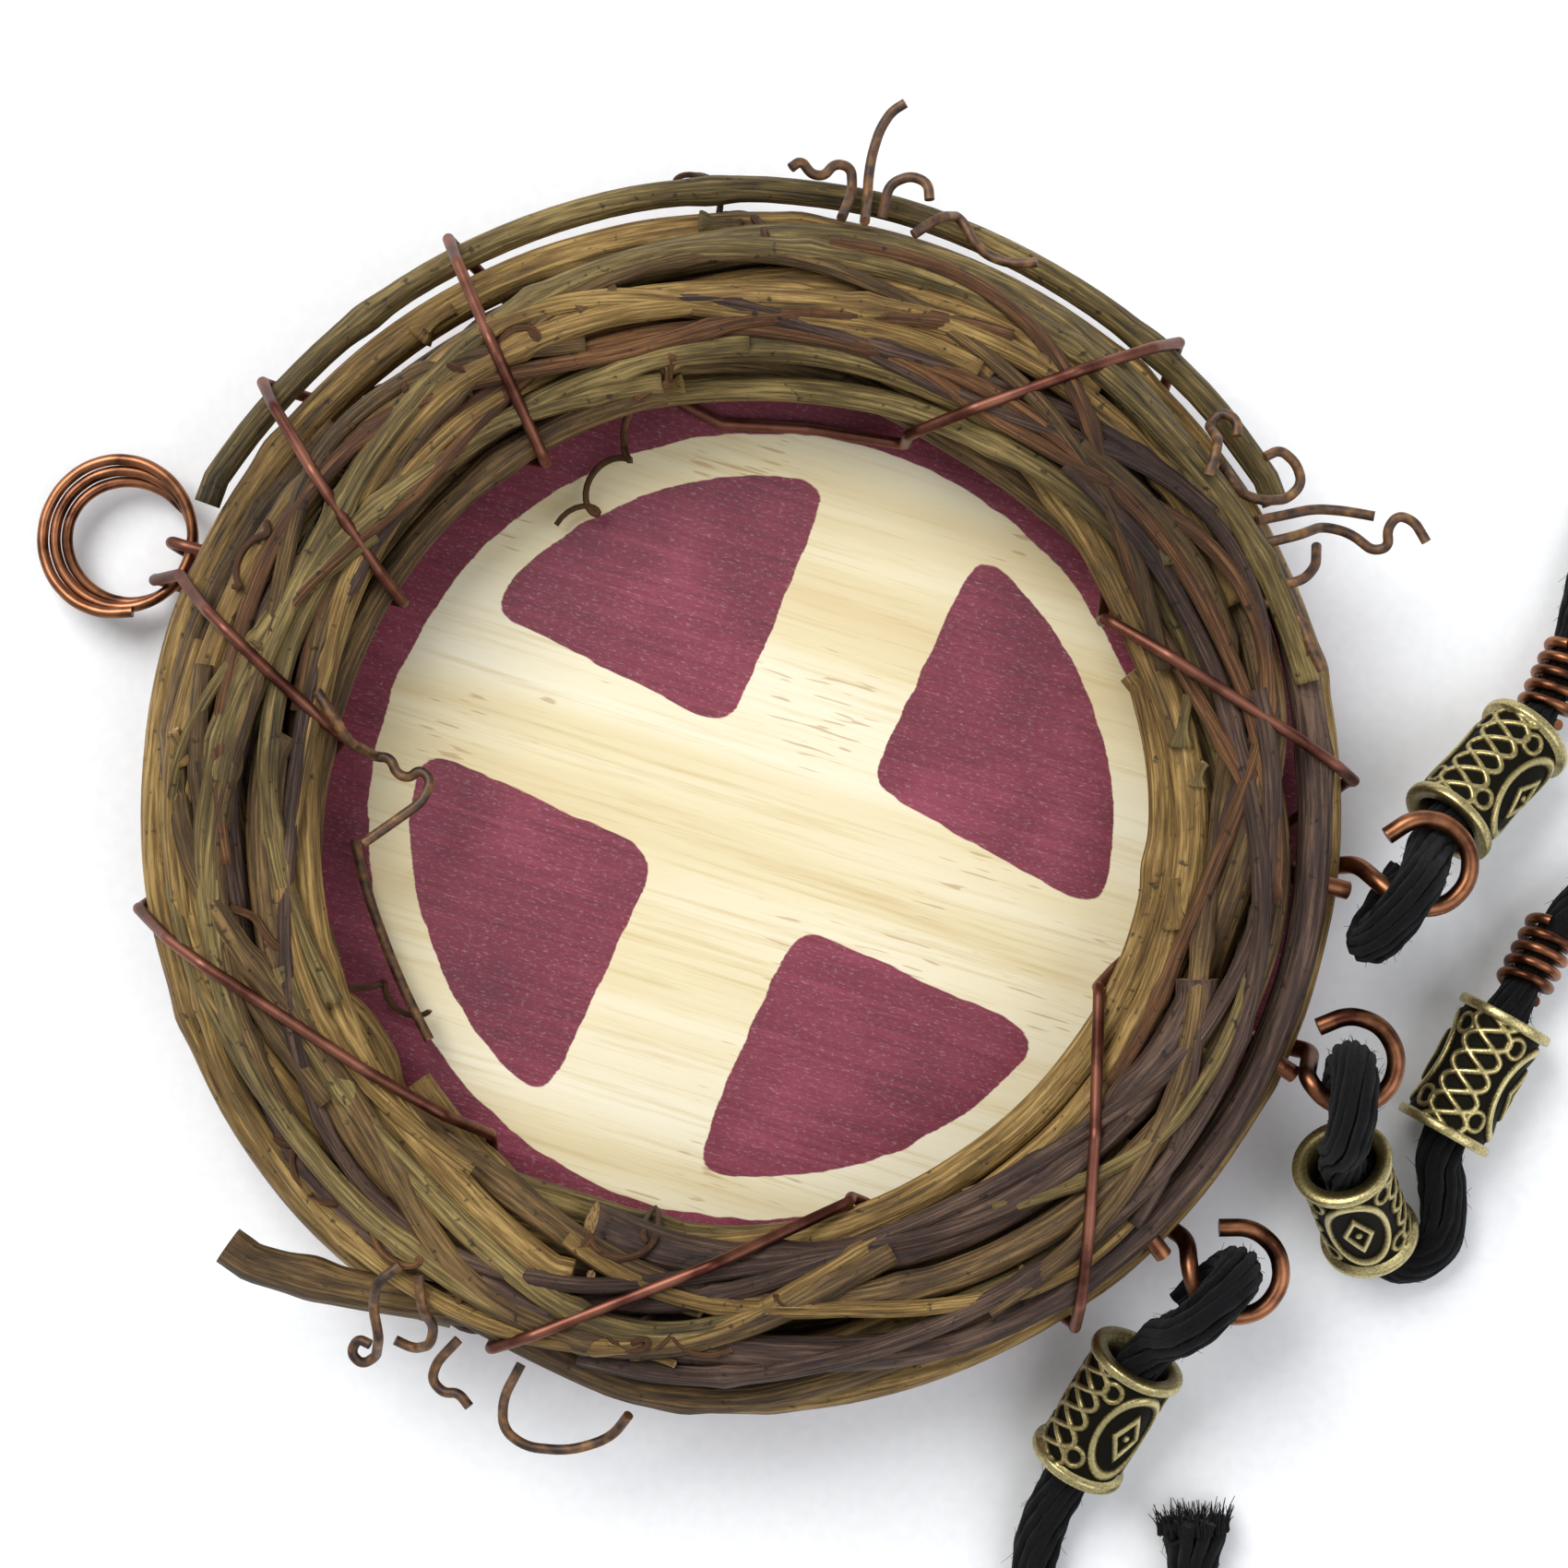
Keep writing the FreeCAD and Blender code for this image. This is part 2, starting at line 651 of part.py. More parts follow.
def make_hook(name, angle, centre):
    """A cord hook: an eye round the outer vine, a shank and an open ring that lies level."""
    rail = outer_wish(angle)
    middle = on_wreath(angle, size("wreath_mean_radius") + rail[0], bundle_height() + rail[1])
    out = level(angle)
    side = level(angle + 90)
    radius = size("vine_outer_dia") / 2 + size("hook_clear") + size("hook_wire_dia") / 2
    first, last, count = 50, 345, 6
    step = (last - first) / count
    reach = radius / math.cos(math.radians(step / 2))
    drift = size("hook_wire_dia") + 2 * size("hook_clear")
    points = []
    for k in range(count + 1):
        turn = math.radians(first + k * step)
        shift = side * (drift * (k / count - 0.5))
        points.append(middle + out * (reach * math.cos(turn)) + vec(0, 0, reach * math.sin(turn)) + shift)
    centre = vec(*centre) + hang_shift(name)
    away = points[-1] - centre
    toward = math.degrees(math.atan2(away.y, away.x))
    ring = size("hook_ring_radius")
    for k in range(8):
        turn = toward + 30 + 42 * k
        points.append(centre + level(turn) * (ring / math.cos(math.radians(21))))
    keep(tube(name, points, "hook_wire_dia")[0], name)


# ---------------------------------------------------------------- cords, beads and coils


def route(name):
    return [vec(*place) + hang_shift(name) for place in CORDS[name]]


def coil_ends(name):
    """Where the wire coil starts on a cord and the way that it runs."""
    points = route(name)
    start, end = points[COIL_RUNS[name]], points[COIL_RUNS[name] + 1]
    along = end - start
    long = size("coil_turns") * size("coil_pitch") + size("coil_wire_dia")
    lead = (along.Length - long) / 2
    along.normalize()
    return start + along * lead, along, long


def make_cord(name):
    """A doubled yarn from the fold round its hook to its frayed end, drawn in under its coil."""
    bar, path, radii = tube(name, route(name), "cord_dia")
    print(f"{name}: {path.Shape.Length:.1f} mm, arc radii", " ".join(f"{r:.1f}" for r in radii))
    if name in COIL_RUNS:
        start, along, long = coil_ends(name)
        sleeve = doc.addObject("Part::Cylinder", name + "_sleeve")
        core = doc.addObject("Part::Cylinder", name + "_core")
        sleeve.setExpression("Radius", "sizes.cord_dia")
        core.setExpression("Radius", "sizes.cord_waist_dia / 2")
        for solid in (sleeve, core):
            solid.Height = long + 2 * size("coil_clear")
            turn = FreeCAD.Rotation(vec(0, 0, 1), along)
            solid.Placement = FreeCAD.Placement(start - along * size("coil_clear"), turn)
        band = doc.addObject("Part::Cut", name + "_band")
        band.Base = sleeve
        band.Tool = core
        waisted = doc.addObject("Part::Cut", name + "_waisted")
        waisted.Base = bar
        waisted.Tool = band
        doc.recompute()
        bar = waisted
    keep(bar, name)


def make_coil(label, cord):
    """A wire coil gripping the cord's waist."""
    start, along, long = coil_ends(cord)
    helix = doc.addObject("Part::Helix", label + "_line")
    helix.setExpression("Pitch", "sizes.coil_pitch")
    helix.setExpression("Height", "sizes.coil_pitch * sizes.coil_turns")
    middle = "sizes.cord_waist_dia / 2 + sizes.coil_clear + sizes.coil_wire_dia / 2"
    helix.setExpression("Radius", middle)
    section = doc.addObject("Part::Circle", label + "_section")
    section.setExpression("Radius", "sizes.coil_wire_dia / 2")
    doc.recompute()
    section.Placement = FreeCAD.Placement(vec(helix.Radius.Value, 0, 0), FreeCAD.Rotation(vec(1, 0, 0), 90))
    coil = doc.addObject("Part::Sweep", label)
    coil.Sections = [section]
    coil.Spine = (helix, ["Edge1"])
    coil.Solid = True
    coil.Frenet = True
    start = start + along * (size("coil_wire_dia") / 2)
    coil.Placement = FreeCAD.Placement(start, FreeCAD.Rotation(vec(0, 0, 1), along))
    doc.recompute()
    keep(coil, label)


def outline(body, name, role, corners):
    """A closed sketch on one of the body's planes. Each corner is two expressions or zeros."""
    plane = next(f for f in body.Origin.OriginFeatures if f.Role == role)
    sketch = body.newObject("Sketcher::SketchObject", name)
    sketch.AttachmentSupport = (plane, [""])
    sketch.MapMode = "FlatFace"
    numbers = [[float(sheet_value(e)) for e in corner] for corner in corners]
    for n, (x, y) in enumerate(numbers):
        after = numbers[(n + 1) % len(numbers)]
        sketch.addGeometry(Part.LineSegment(vec(x, y), vec(*after)))
    for n in range(len(corners)):
        sketch.addConstraint(Sketcher.Constraint("Coincident", n, 2, (n + 1) % len(corners), 1))
    for n, corner in enumerate(corners):
        for kind, expression, value in zip(("DistanceX", "DistanceY"), corner, numbers[n]):
            if abs(value) < 1e-9:
                axis = -2 if kind == "DistanceX" else -1
                sketch.addConstraint(Sketcher.Constraint("PointOnObject", n, 1, axis))
            else:
                index = sketch.addConstraint(Sketcher.Constraint(kind, -1, 1, n, 1, value))
                sketch.setExpression(f"Constraints[{index}]", expression)
    return sketch


def sheet_value(expression):
    """The number that an expression of the sheet's aliases gives."""
    return sheet.evalExpression(expression)


def make_bead(label, mouth, heading, fall):
    """A tube bead with a raised rim at each end."""
    body = doc.addObject("PartDesign::Body", label)
    bore = "sizes.bead_bore_dia / 2"
    rim = "sizes.bead_rim_dia / 2"
    barrel = "sizes.bead_barrel_dia / 2"
    wide = "sizes.bead_rim_wide"
    far = "sizes.bead_length - sizes.bead_rim_wide"
    corners = [
        (bore, "0"), (rim, "0"), (rim, wide), (barrel, wide + " * 1.5"),
        (barrel, far + " - " + wide + " / 2"), (rim, far), (rim, "sizes.bead_length"),
        (bore, "sizes.bead_length"),
    ]
    sketch = outline(body, label + "_profile", "XZ_Plane", corners)
    turned = body.newObject("PartDesign::Revolution", label + "_turned")
    turned.Profile = sketch
    turned.ReferenceAxis = (sketch, ["V_Axis"])
    turned.Angle = 360
    sketch.Visibility = False
    doc.recompute()
    down = math.radians(fall)
    along = level(heading) * math.cos(down) - vec(0, 0, math.sin(down))
    body.Placement = FreeCAD.Placement(vec(*mouth) + hang_shift(label), FreeCAD.Rotation(vec(0, 0, 1), along))
    keep(body, label)


# ---------------------------------------------------------------- disc and glue


def make_disc():
    """The painted wood disc, with a softened edge."""
    body = doc.addObject("PartDesign::Body", "disc")
    plane = next(f for f in body.Origin.OriginFeatures if f.Role == "XY_Plane")
    sketch = body.newObject("Sketcher::SketchObject", "disc_outline")
    sketch.AttachmentSupport = (plane, [""])
    sketch.MapMode = "FlatFace"
    sketch.addGeometry(Part.Circle(vec(0, 0), vec(0, 0, 1), size("disc_dia") / 2))
    sketch.addConstraint(Sketcher.Constraint("Coincident", 0, 3, -1, 1))
    index = sketch.addConstraint(Sketcher.Constraint("Diameter", 0, size("disc_dia")))
    sketch.setExpression(f"Constraints[{index}]", "sizes.disc_dia")
    pad = body.newObject("PartDesign::Pad", "disc_pad")
    pad.Profile = sketch
    pad.setExpression("Length", "sizes.disc_thick")
    doc.recompute()
    round_off = body.newObject("PartDesign::Fillet", "disc_rounding")
    rims = [f"Edge{n + 1}" for n, edge in enumerate(pad.Shape.Edges) if len(edge.Vertexes) == 1]
    round_off.Base = (pad, rims)
    round_off.setExpression("Radius", "sizes.disc_edge_round")
    doc.recompute()
    keep(body, "disc")


def make_tendrils(samples):
    """Curly tendrils that lie on the vines and stand out past them."""
    for label, strands in TENDRILS.items():
        bars = []
        for n, (height, places) in enumerate(strands, start=1):
            places = [moved_outward(x, y) for x, y in places]
            points = tendril_points(samples, height, places)
            bars.append(tube(f"{label}_{n}", points, "tendril_dia")[0])
        group = doc.addObject("Part::Compound", label)
        group.Links = bars
        doc.recompute()
        keep(group, label)


def moved_outward(x, y):
    """A place near the wreath, moved with the wreath's outside."""
    about = vec(x, y) - on_wreath(0, 0, 0)
    moved = vec(x, y) + about / about.Length * outward()
    return moved.x, moved.y


def tendril_points(samples, free_height, places):
    """A tendril's route: it climbs steadily and clears what lies below it, also between its places."""
    heights = [tendril_height(samples, x, y, free_height) for x, y in places]
    for k in range(len(places) - 1):
        (a, b), (c, d) = places[k], places[k + 1]
        for share in (0.25, 0.5, 0.75):
            clear = tendril_height(samples, a + share * (c - a), b + share * (d - b), free_height)
            heights[k] = max(heights[k], clear)
            heights[k + 1] = max(heights[k + 1], clear)
    climb = size("tendril_dia") / 3
    return [vec(x, y, height + climb * k) for k, ((x, y), height) in enumerate(zip(places, heights))]


def tendril_height(samples, x, y, free_height):
    """The height at which a tendril clears the vines below it, or its free height where there are none."""
    height = free_height
    for point, radius in samples:
        need = radius + size("tendril_dia") / 2 + size("tendril_gap")
        aside = math.hypot(point.x - x, point.y - y)
        if aside < need:
            height = max(height, point.z + math.sqrt(need * need - aside * aside))
    return height


def make_glue():
    """Dabs of glue between the disc and the vines."""
    dabs = []
    for n, angle in enumerate(GLUE_ANGLES, start=1):
        dab = doc.addObject("Part::Cylinder", f"glue_dab_{n}")
        dab.setExpression("Radius", "sizes.glue_dia / 2")
        dab.setExpression("Height", "sizes.lacing_dia + 2 * sizes.lacing_gap")
        place = on_wreath(angle, size("wreath_mean_radius"), size("disc_thick"))
        dab.Placement = FreeCAD.Placement(place, FreeCAD.Rotation())
        dabs.append(dab)
    group = doc.addObject("Part::Compound", "glue_dots")
    group.Links = dabs
    doc.recompute()
    keep(group, "glue_dots")


def export():
    """Checks every object, then writes each sub-part's solids."""
    doc.recompute()
    for thing in doc.Objects:
        if "Invalid" in thing.State or "Error" in thing.State:
            raise RuntimeError(f"{thing.Label} failed: {thing.State}")
    os.makedirs("parts", exist_ok=True)
    for part in made:
        shape = part.Shape
        if shape.isNull() or not shape.isValid() or not shape.Solids:
            raise RuntimeError(f"{part.Label} has no valid solid")
        shape.exportStep(f"parts/{part.Label}.step")


def main():
    fill_sheet()
    make_disc()
    make_glue()
    samples = bundle_samples(make_vines())
    samples += bundle_samples([make_lacing(samples)])
    make_ring()
    for name, angle, centre in HOOKS:
        make_hook(name, angle, centre)
    for name in CORDS:
        make_cord(name)
    make_tendrils(samples)
    for cord in COIL_RUNS:
        make_coil(cord.replace("cord", "coil"), cord)
    for label, _, mouth, heading, fall in BEADS:
        make_bead(label, mouth, heading, fall)
    export()


main()
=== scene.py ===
"""Wreath wall hanging: looks for a painted pine disc behind a ring of laced vines, with beaded cords.

Everything stands in metres in the model's own frame: the piece lies on its back, +Z points out of the
painted face, the hanging ring is on the -X side and the cords on the +X side.
"""

import json
import logging
import math
from dataclasses import dataclass, field
from enum import Enum

import bpy
import numpy as np
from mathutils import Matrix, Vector

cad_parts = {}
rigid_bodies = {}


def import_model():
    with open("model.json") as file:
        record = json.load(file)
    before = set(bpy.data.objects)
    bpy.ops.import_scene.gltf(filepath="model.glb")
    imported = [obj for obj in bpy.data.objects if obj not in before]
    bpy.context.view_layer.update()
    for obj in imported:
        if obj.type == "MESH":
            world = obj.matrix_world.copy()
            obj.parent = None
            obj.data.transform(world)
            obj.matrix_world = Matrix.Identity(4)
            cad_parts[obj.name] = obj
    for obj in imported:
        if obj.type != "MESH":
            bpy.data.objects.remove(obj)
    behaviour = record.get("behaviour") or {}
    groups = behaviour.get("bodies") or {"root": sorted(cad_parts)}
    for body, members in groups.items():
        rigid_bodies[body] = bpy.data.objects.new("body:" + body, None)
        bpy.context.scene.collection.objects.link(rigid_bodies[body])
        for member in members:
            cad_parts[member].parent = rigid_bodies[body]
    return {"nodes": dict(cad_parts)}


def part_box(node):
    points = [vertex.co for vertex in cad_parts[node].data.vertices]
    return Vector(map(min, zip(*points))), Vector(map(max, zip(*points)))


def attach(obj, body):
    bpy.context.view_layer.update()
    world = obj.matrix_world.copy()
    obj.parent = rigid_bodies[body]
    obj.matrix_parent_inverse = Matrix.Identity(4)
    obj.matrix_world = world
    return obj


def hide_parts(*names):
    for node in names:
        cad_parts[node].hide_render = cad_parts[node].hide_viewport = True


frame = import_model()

Tree = bpy.types.NodeTree
Socket = bpy.types.NodeSocket
Node = bpy.types.Node
Material = bpy.types.Material
Piece = bpy.types.Object

MM = 0.001
MIX_A, MIX_B, MIX_RESULT = 6, 7, 2  # a Mix node's colour sockets
NOISE_LAYERS = 2
LOG = logging.getLogger("wreath")
WREATH_CENTRE = np.array([-1.8, 1.25])
WREATH_BODY = "wreath"


# ---------------------------------------------------------------- shared tools


def linear(hex_colour: str) -> tuple[float, float, float, float]:
    """Turns an sRGB hex colour to linear.

    Args:
        hex_colour: six hex digits after a hash.

    Returns:
        Red, green, blue and an alpha of one.
    """
    parts = [int(hex_colour[k : k + 2], 16) / 255 for k in (1, 3, 5)]
    lin = [c / 12.92 if c <= 0.04045 else ((c + 0.055) / 1.055) ** 2.4 for c in parts]
    return (lin[0], lin[1], lin[2], 1.0)


def add(tree: Tree, kind: str, settings: dict | None = None, links: dict | None = None) -> Node:
    """Adds a node with its settings and links.

    Args:
        tree: the node tree of a material.
        kind: the node's type after "ShaderNode".
        settings: attribute names, or input names and indexes, with their values.
        links: input names or indexes, with the output sockets that feed them.

    Returns:
        The new node.
    """
    node = tree.nodes.new("ShaderNode" + kind)
    for key, value in (settings or {}).items():
        if isinstance(key, str) and hasattr(node, key):
            setattr(node, key, value)
        else:
            node.inputs[key].default_value = value
    for key, socket in (links or {}).items():
        tree.links.new(socket, node.inputs[key])
    return node


def ramp(tree: Tree, factor: Socket, stops: list[tuple[float, str]]) -> Node:
    """Adds a colour ramp with hex stops.

    Args:
        tree: the node tree.
        factor: the socket that drives the ramp.
        stops: positions and hex colours.

    Returns:
        The ramp node.
    """
    node = add(tree, "ValToRGB", links={0: factor})
    elements = node.color_ramp.elements
    while len(elements) < len(stops):
        elements.new(0.5)
    for element, (position, colour) in zip(elements, stops):
        element.position = position
        element.color = linear(colour)
    return node


def new_material(name: str) -> tuple[Material, Tree, Node]:
    """Makes a node material.

    Args:
        name: the finish's own name.

    Returns:
        The material, its tree and its principled shader.
    """
    material = bpy.data.materials.new(name)
    material.use_nodes = True
    tree = material.node_tree
    shader = next(n for n in tree.nodes if n.type == "BSDF_PRINCIPLED")
    return material, tree, shader


def mesh_piece(name: str, verts: np.ndarray, faces: list, materials: list, smooth: bool = True) -> Piece:
    """Makes a mesh object and links it to the scene.

    Args:
        name: the piece's name.
        verts: points in metres.
        faces: tuples of point indexes.
        materials: materials for the slots.
        smooth: whether faces are shaded smooth.

    Returns:
        The new object.
    """
    mesh = bpy.data.meshes.new(name)
    mesh.from_pydata([tuple(v) for v in verts], [], faces)
    for material in materials:
        mesh.materials.append(material)
    mesh.polygons.foreach_set("use_smooth", [smooth] * len(mesh.polygons))
    piece = bpy.data.objects.new(name, mesh)
    bpy.context.scene.collection.objects.link(piece)
    return piece


def smooth_noise(length: int, step: float, rng: np.random.Generator) -> np.ndarray:
    """Smooth random values along a line.

    Args:
        length: how many values.
        step: how many places apart the random knots are.
        rng: the seeded source.

    Returns:
        Values of about -1 to 1.
    """
    total = np.zeros(length)
    for layer in range(NOISE_LAYERS):
        spacing = max(1.0, step / 2**layer)
        knots = rng.uniform(-1, 1, int(length / spacing) + 4)
        at = np.arange(length) / spacing
        low = at.astype(int)
        t = at - low
        t = t * t * (3 - 2 * t)
        total += (knots[low] * (1 - t) + knots[low + 1] * t) / 2**layer
    return total / 1.5


def resample(points: np.ndarray, step: float) -> np.ndarray:
    """Spaces points evenly along a line.

    Args:
        points: the line's points.
        step: the spacing wanted, in the points' units.

    Returns:
        The evenly spaced points.
    """
    lengths = np.r_[0, np.cumsum(np.linalg.norm(np.diff(points, axis=0), axis=1))]
    count = max(3, int(round(lengths[-1] / step)) + 1)
    at = np.linspace(0, lengths[-1], count)
    return np.stack([np.interp(at, lengths, points[:, k]) for k in range(points.shape[1])], axis=1)


def frames_along(points: np.ndarray) -> tuple[np.ndarray, np.ndarray, np.ndarray]:
    """Carries a frame along a line without twist.

    Args:
        points: the line's points.

    Returns:
        Tangents and two sideways unit vectors at every point.
    """
    tangents = np.gradient(points, axis=0)
    tangents /= np.linalg.norm(tangents, axis=1)[:, None]
    side = np.cross(tangents[0], [0, 0, 1.0])
    if np.linalg.norm(side) < 1e-3:
        side = np.array([1.0, 0, 0])
    sides = []
    for tangent in tangents:
        side = side - tangent * side.dot(tangent)
        side /= np.linalg.norm(side)
        sides.append(side)
    sides = np.array(sides)
    return tangents, sides, np.cross(tangents, sides)


@dataclass
class TubeMesh:
    """Collects tubes into one mesh, with a map of the way round and the length in millimetres."""

    verts: list = field(default_factory=list)
    faces: list = field(default_factory=list)
    uvs: list = field(default_factory=list)
    ends: list = field(default_factory=list)
    count: int = 0

    def add_tube(self, points: np.ndarray, radii: np.ndarray, sides: int) -> None:
        """Adds a tube with closed ends.

        Args:
            points: its middle line, in millimetres.
            radii: a radius for each point, or for each point and side.
            sides: how many sides it has.
        """
        _, side, up = frames_along(points)
        radii = np.asarray(radii, dtype=float)
        if radii.ndim == 1:
            radii = np.repeat(radii[:, None], sides, axis=1)
        turn = np.linspace(0, 2 * np.pi, sides, endpoint=False)
        rings = (
            points[:, None, :]
            + radii[:, :, None] * np.cos(turn)[None, :, None] * side[:, None, :]
            + radii[:, :, None] * np.sin(turn)[None, :, None] * up[:, None, :]
        )
        start = self.count
        self.verts.append(rings.reshape(-1, 3))
        lengths = np.r_[0, np.cumsum(np.linalg.norm(np.diff(points, axis=0), axis=1))]
        n = len(points)
        for i in range(n - 1):
            a = start + i * sides
            for k in range(sides):
                m = (k + 1) % sides
                self.faces.append((a + k, a + m, a + sides + m, a + sides + k))
                u, v = k / sides * 10, (k + 1) / sides * 10
                self.uvs += [(u, lengths[i]), (v, lengths[i]), (v, lengths[i + 1]), (u, lengths[i + 1])]
                self.ends.append(0)
        self.count += n * sides
        for ring, flip in ((0, True), (n - 1, False)):
            a = start + ring * sides
            face = tuple(range(a, a + sides))
            self.faces.append(face[::-1] if flip else face)
            self.uvs += [(math.cos(t) * 2, math.sin(t) * 2) for t in turn]
            self.ends.append(1)

    def piece(self, name: str, materials: list) -> Piece:
        """Makes the object.

        Args:
            name: the piece's name.
            materials: the side's finish and, where there is one, the cut end's finish.

        Returns:
            The new object.
        """
        verts = np.concatenate(self.verts) * MM
        thing = mesh_piece(name, verts, self.faces, materials)
        layer = thing.data.uv_layers.new(name="round_and_along")
        layer.data.foreach_set("uv", np.array(self.uvs, dtype=np.float32).ravel())
        if len(materials) > 1:
            thing.data.polygons.foreach_set("material_index", self.ends)
        thing.data.polygons.foreach_set("use_smooth", [end == 0 for end in self.ends])
        return thing


# ---------------------------------------------------------------- finishes


class Bark(Enum):
    """The vines' barks, each with its dark, middle and light colours."""

    OLIVE = ("#1E1709", "#61502A", "#A28B55")
    TAN = ("#2B1E0A", "#785C2E", "#BA9A5C")
    BROWN = ("#170F06", "#503B1F", "#8C6F42")
    PURPLE = ("#120B08", "#3E2B22", "#715846")
    REDDISH = ("#1A0D05", "#55351B", "#8E643A")


@dataclass(frozen=True)
class GrapevineBark:
    """Dry grapevine bark: it splits lengthwise into stringy ridges; the colour follows the ridges' bump, so
    the dark furrows are partly the bark's own colour and partly painted shade, and the tops are pale with
    wear.
    """

    kind: Bark
    fibre_mm: float = 0.42  # coarser than the real fibres, so that the furrows show
    patch_mm: float = 22.0
    speck_mm: float = 0.9

    def build(self) -> Material:
        """Makes the material.

        Returns:
            The finish, ready for a slot.
        """
        material, tree, shader = new_material("bark_" + self.kind.name.lower())
        dark, middle, light = self.kind.value
        where = add(tree, "UVMap", {"uv_map": "round_and_along"})
        fibres = add(tree, "Mapping", {"Scale": (1 / self.fibre_mm / 1.1, 0.13, 1)}, {0: where.outputs[0]})
        stringy = {"Scale": 1.0, "Detail": 5, "Roughness": 0.65}
        streaks = add(tree, "TexNoise", stringy, {"Vector": fibres.outputs[0]})
        place = add(tree, "TexCoord").outputs["Object"]
        patches = add(tree, "TexNoise", {"Scale": 1000 / self.patch_mm, "Detail": 4}, {"Vector": place})
        specks = add(tree, "TexNoise", {"Scale": 1000 / self.speck_mm, "Detail": 2}, {"Vector": place})
        blend = add(tree, "Math", {"operation": "MULTIPLY_ADD", 1: 0.75, 2: -0.01}, {0: streaks.outputs[0]})
        weigh = {"operation": "MULTIPLY_ADD", 1: 0.38}
        tone = add(tree, "Math", weigh, {0: patches.outputs[0], 2: blend.outputs[0]})
        # the same streaks raise the bump, so the dark stop paints shade into the furrows along with the
        # bark's own dark fibres
        colour = ramp(tree, tone.outputs[0], [(0.40, dark), (0.56, middle), (0.72, light)])
        pit = ramp(tree, specks.outputs[0], [(0.27, "#3A3A3A"), (0.36, "#FFFFFF")])
        multiply = {"data_type": "RGBA", "blend_type": "MULTIPLY", 0: 0.75}
        mixed = add(tree, "Mix", multiply, {MIX_A: colour.outputs[0], MIX_B: pit.outputs[0]})
        tree.links.new(mixed.outputs[MIX_RESULT], shader.inputs["Base Color"])
        bump = add(tree, "Bump", {"Strength": 0.9, "Distance": 0.0004}, {"Height": streaks.outputs[0]})
        tree.links.new(bump.outputs[0], shader.inputs["Normal"])
        shader.inputs["Roughness"].default_value = 0.62
        shader.inputs["Specular IOR Level"].default_value = 0.35
        return material


@dataclass(frozen=True)
class DryTendril:
    """A dried tendril: thin red-brown skin, almost smooth, with darker flecks."""

    fleck_mm: float = 1.2

    def build(self) -> Material:
        """Makes the material.

        Returns:
            The finish, ready for a slot.
        """
        material, tree, shader = new_material("dry_tendril")
        place = add(tree, "TexCoord").outputs["Object"]
        flecks = add(tree, "TexNoise", {"Scale": 1000 / self.fleck_mm, "Detail": 4}, {"Vector": place})
        colour = ramp(tree, flecks.outputs[0], [(0.35, "#2A170A"), (0.55, "#5A3A1C"), (0.75, "#8A6234")])
        tree.links.new(colour.outputs[0], shader.inputs["Base Color"])
        bump = add(tree, "Bump", {"Strength": 0.4, "Distance": 0.0001}, {"Height": flecks.outputs[0]})
        tree.links.new(bump.outputs[0], shader.inputs["Normal"])
        shader.inputs["Roughness"].default_value = 0.5
        return material


@dataclass(frozen=True)
class CutWood:
    """A vine's sawn end: pale pith and rings that have greyed."""

    ring_mm: float = 0.35

    def build(self) -> Material:
        """Makes the material.

        Returns:
            The finish, ready for a slot.
        """
        material, tree, shader = new_material("cut_vine_end")
        place = add(tree, "TexCoord").outputs["Object"]
        grain = add(tree, "TexNoise", {"Scale": 1000 / self.ring_mm, "Detail": 3}, {"Vector": place})
        colour = ramp(tree, grain.outputs[0], [(0.35, "#6B4F2C"), (0.65, "#B59463")])
        tree.links.new(colour.outputs[0], shader.inputs["Base Color"])
        shader.inputs["Roughness"].default_value = 0.85
        return material


@dataclass(frozen=True)
class Patch:
    """One painted quarter: two straight edges, each a heading and an offset, and the side it lies on."""

    first: tuple[float, float, int]
    second: tuple[float, float, int]


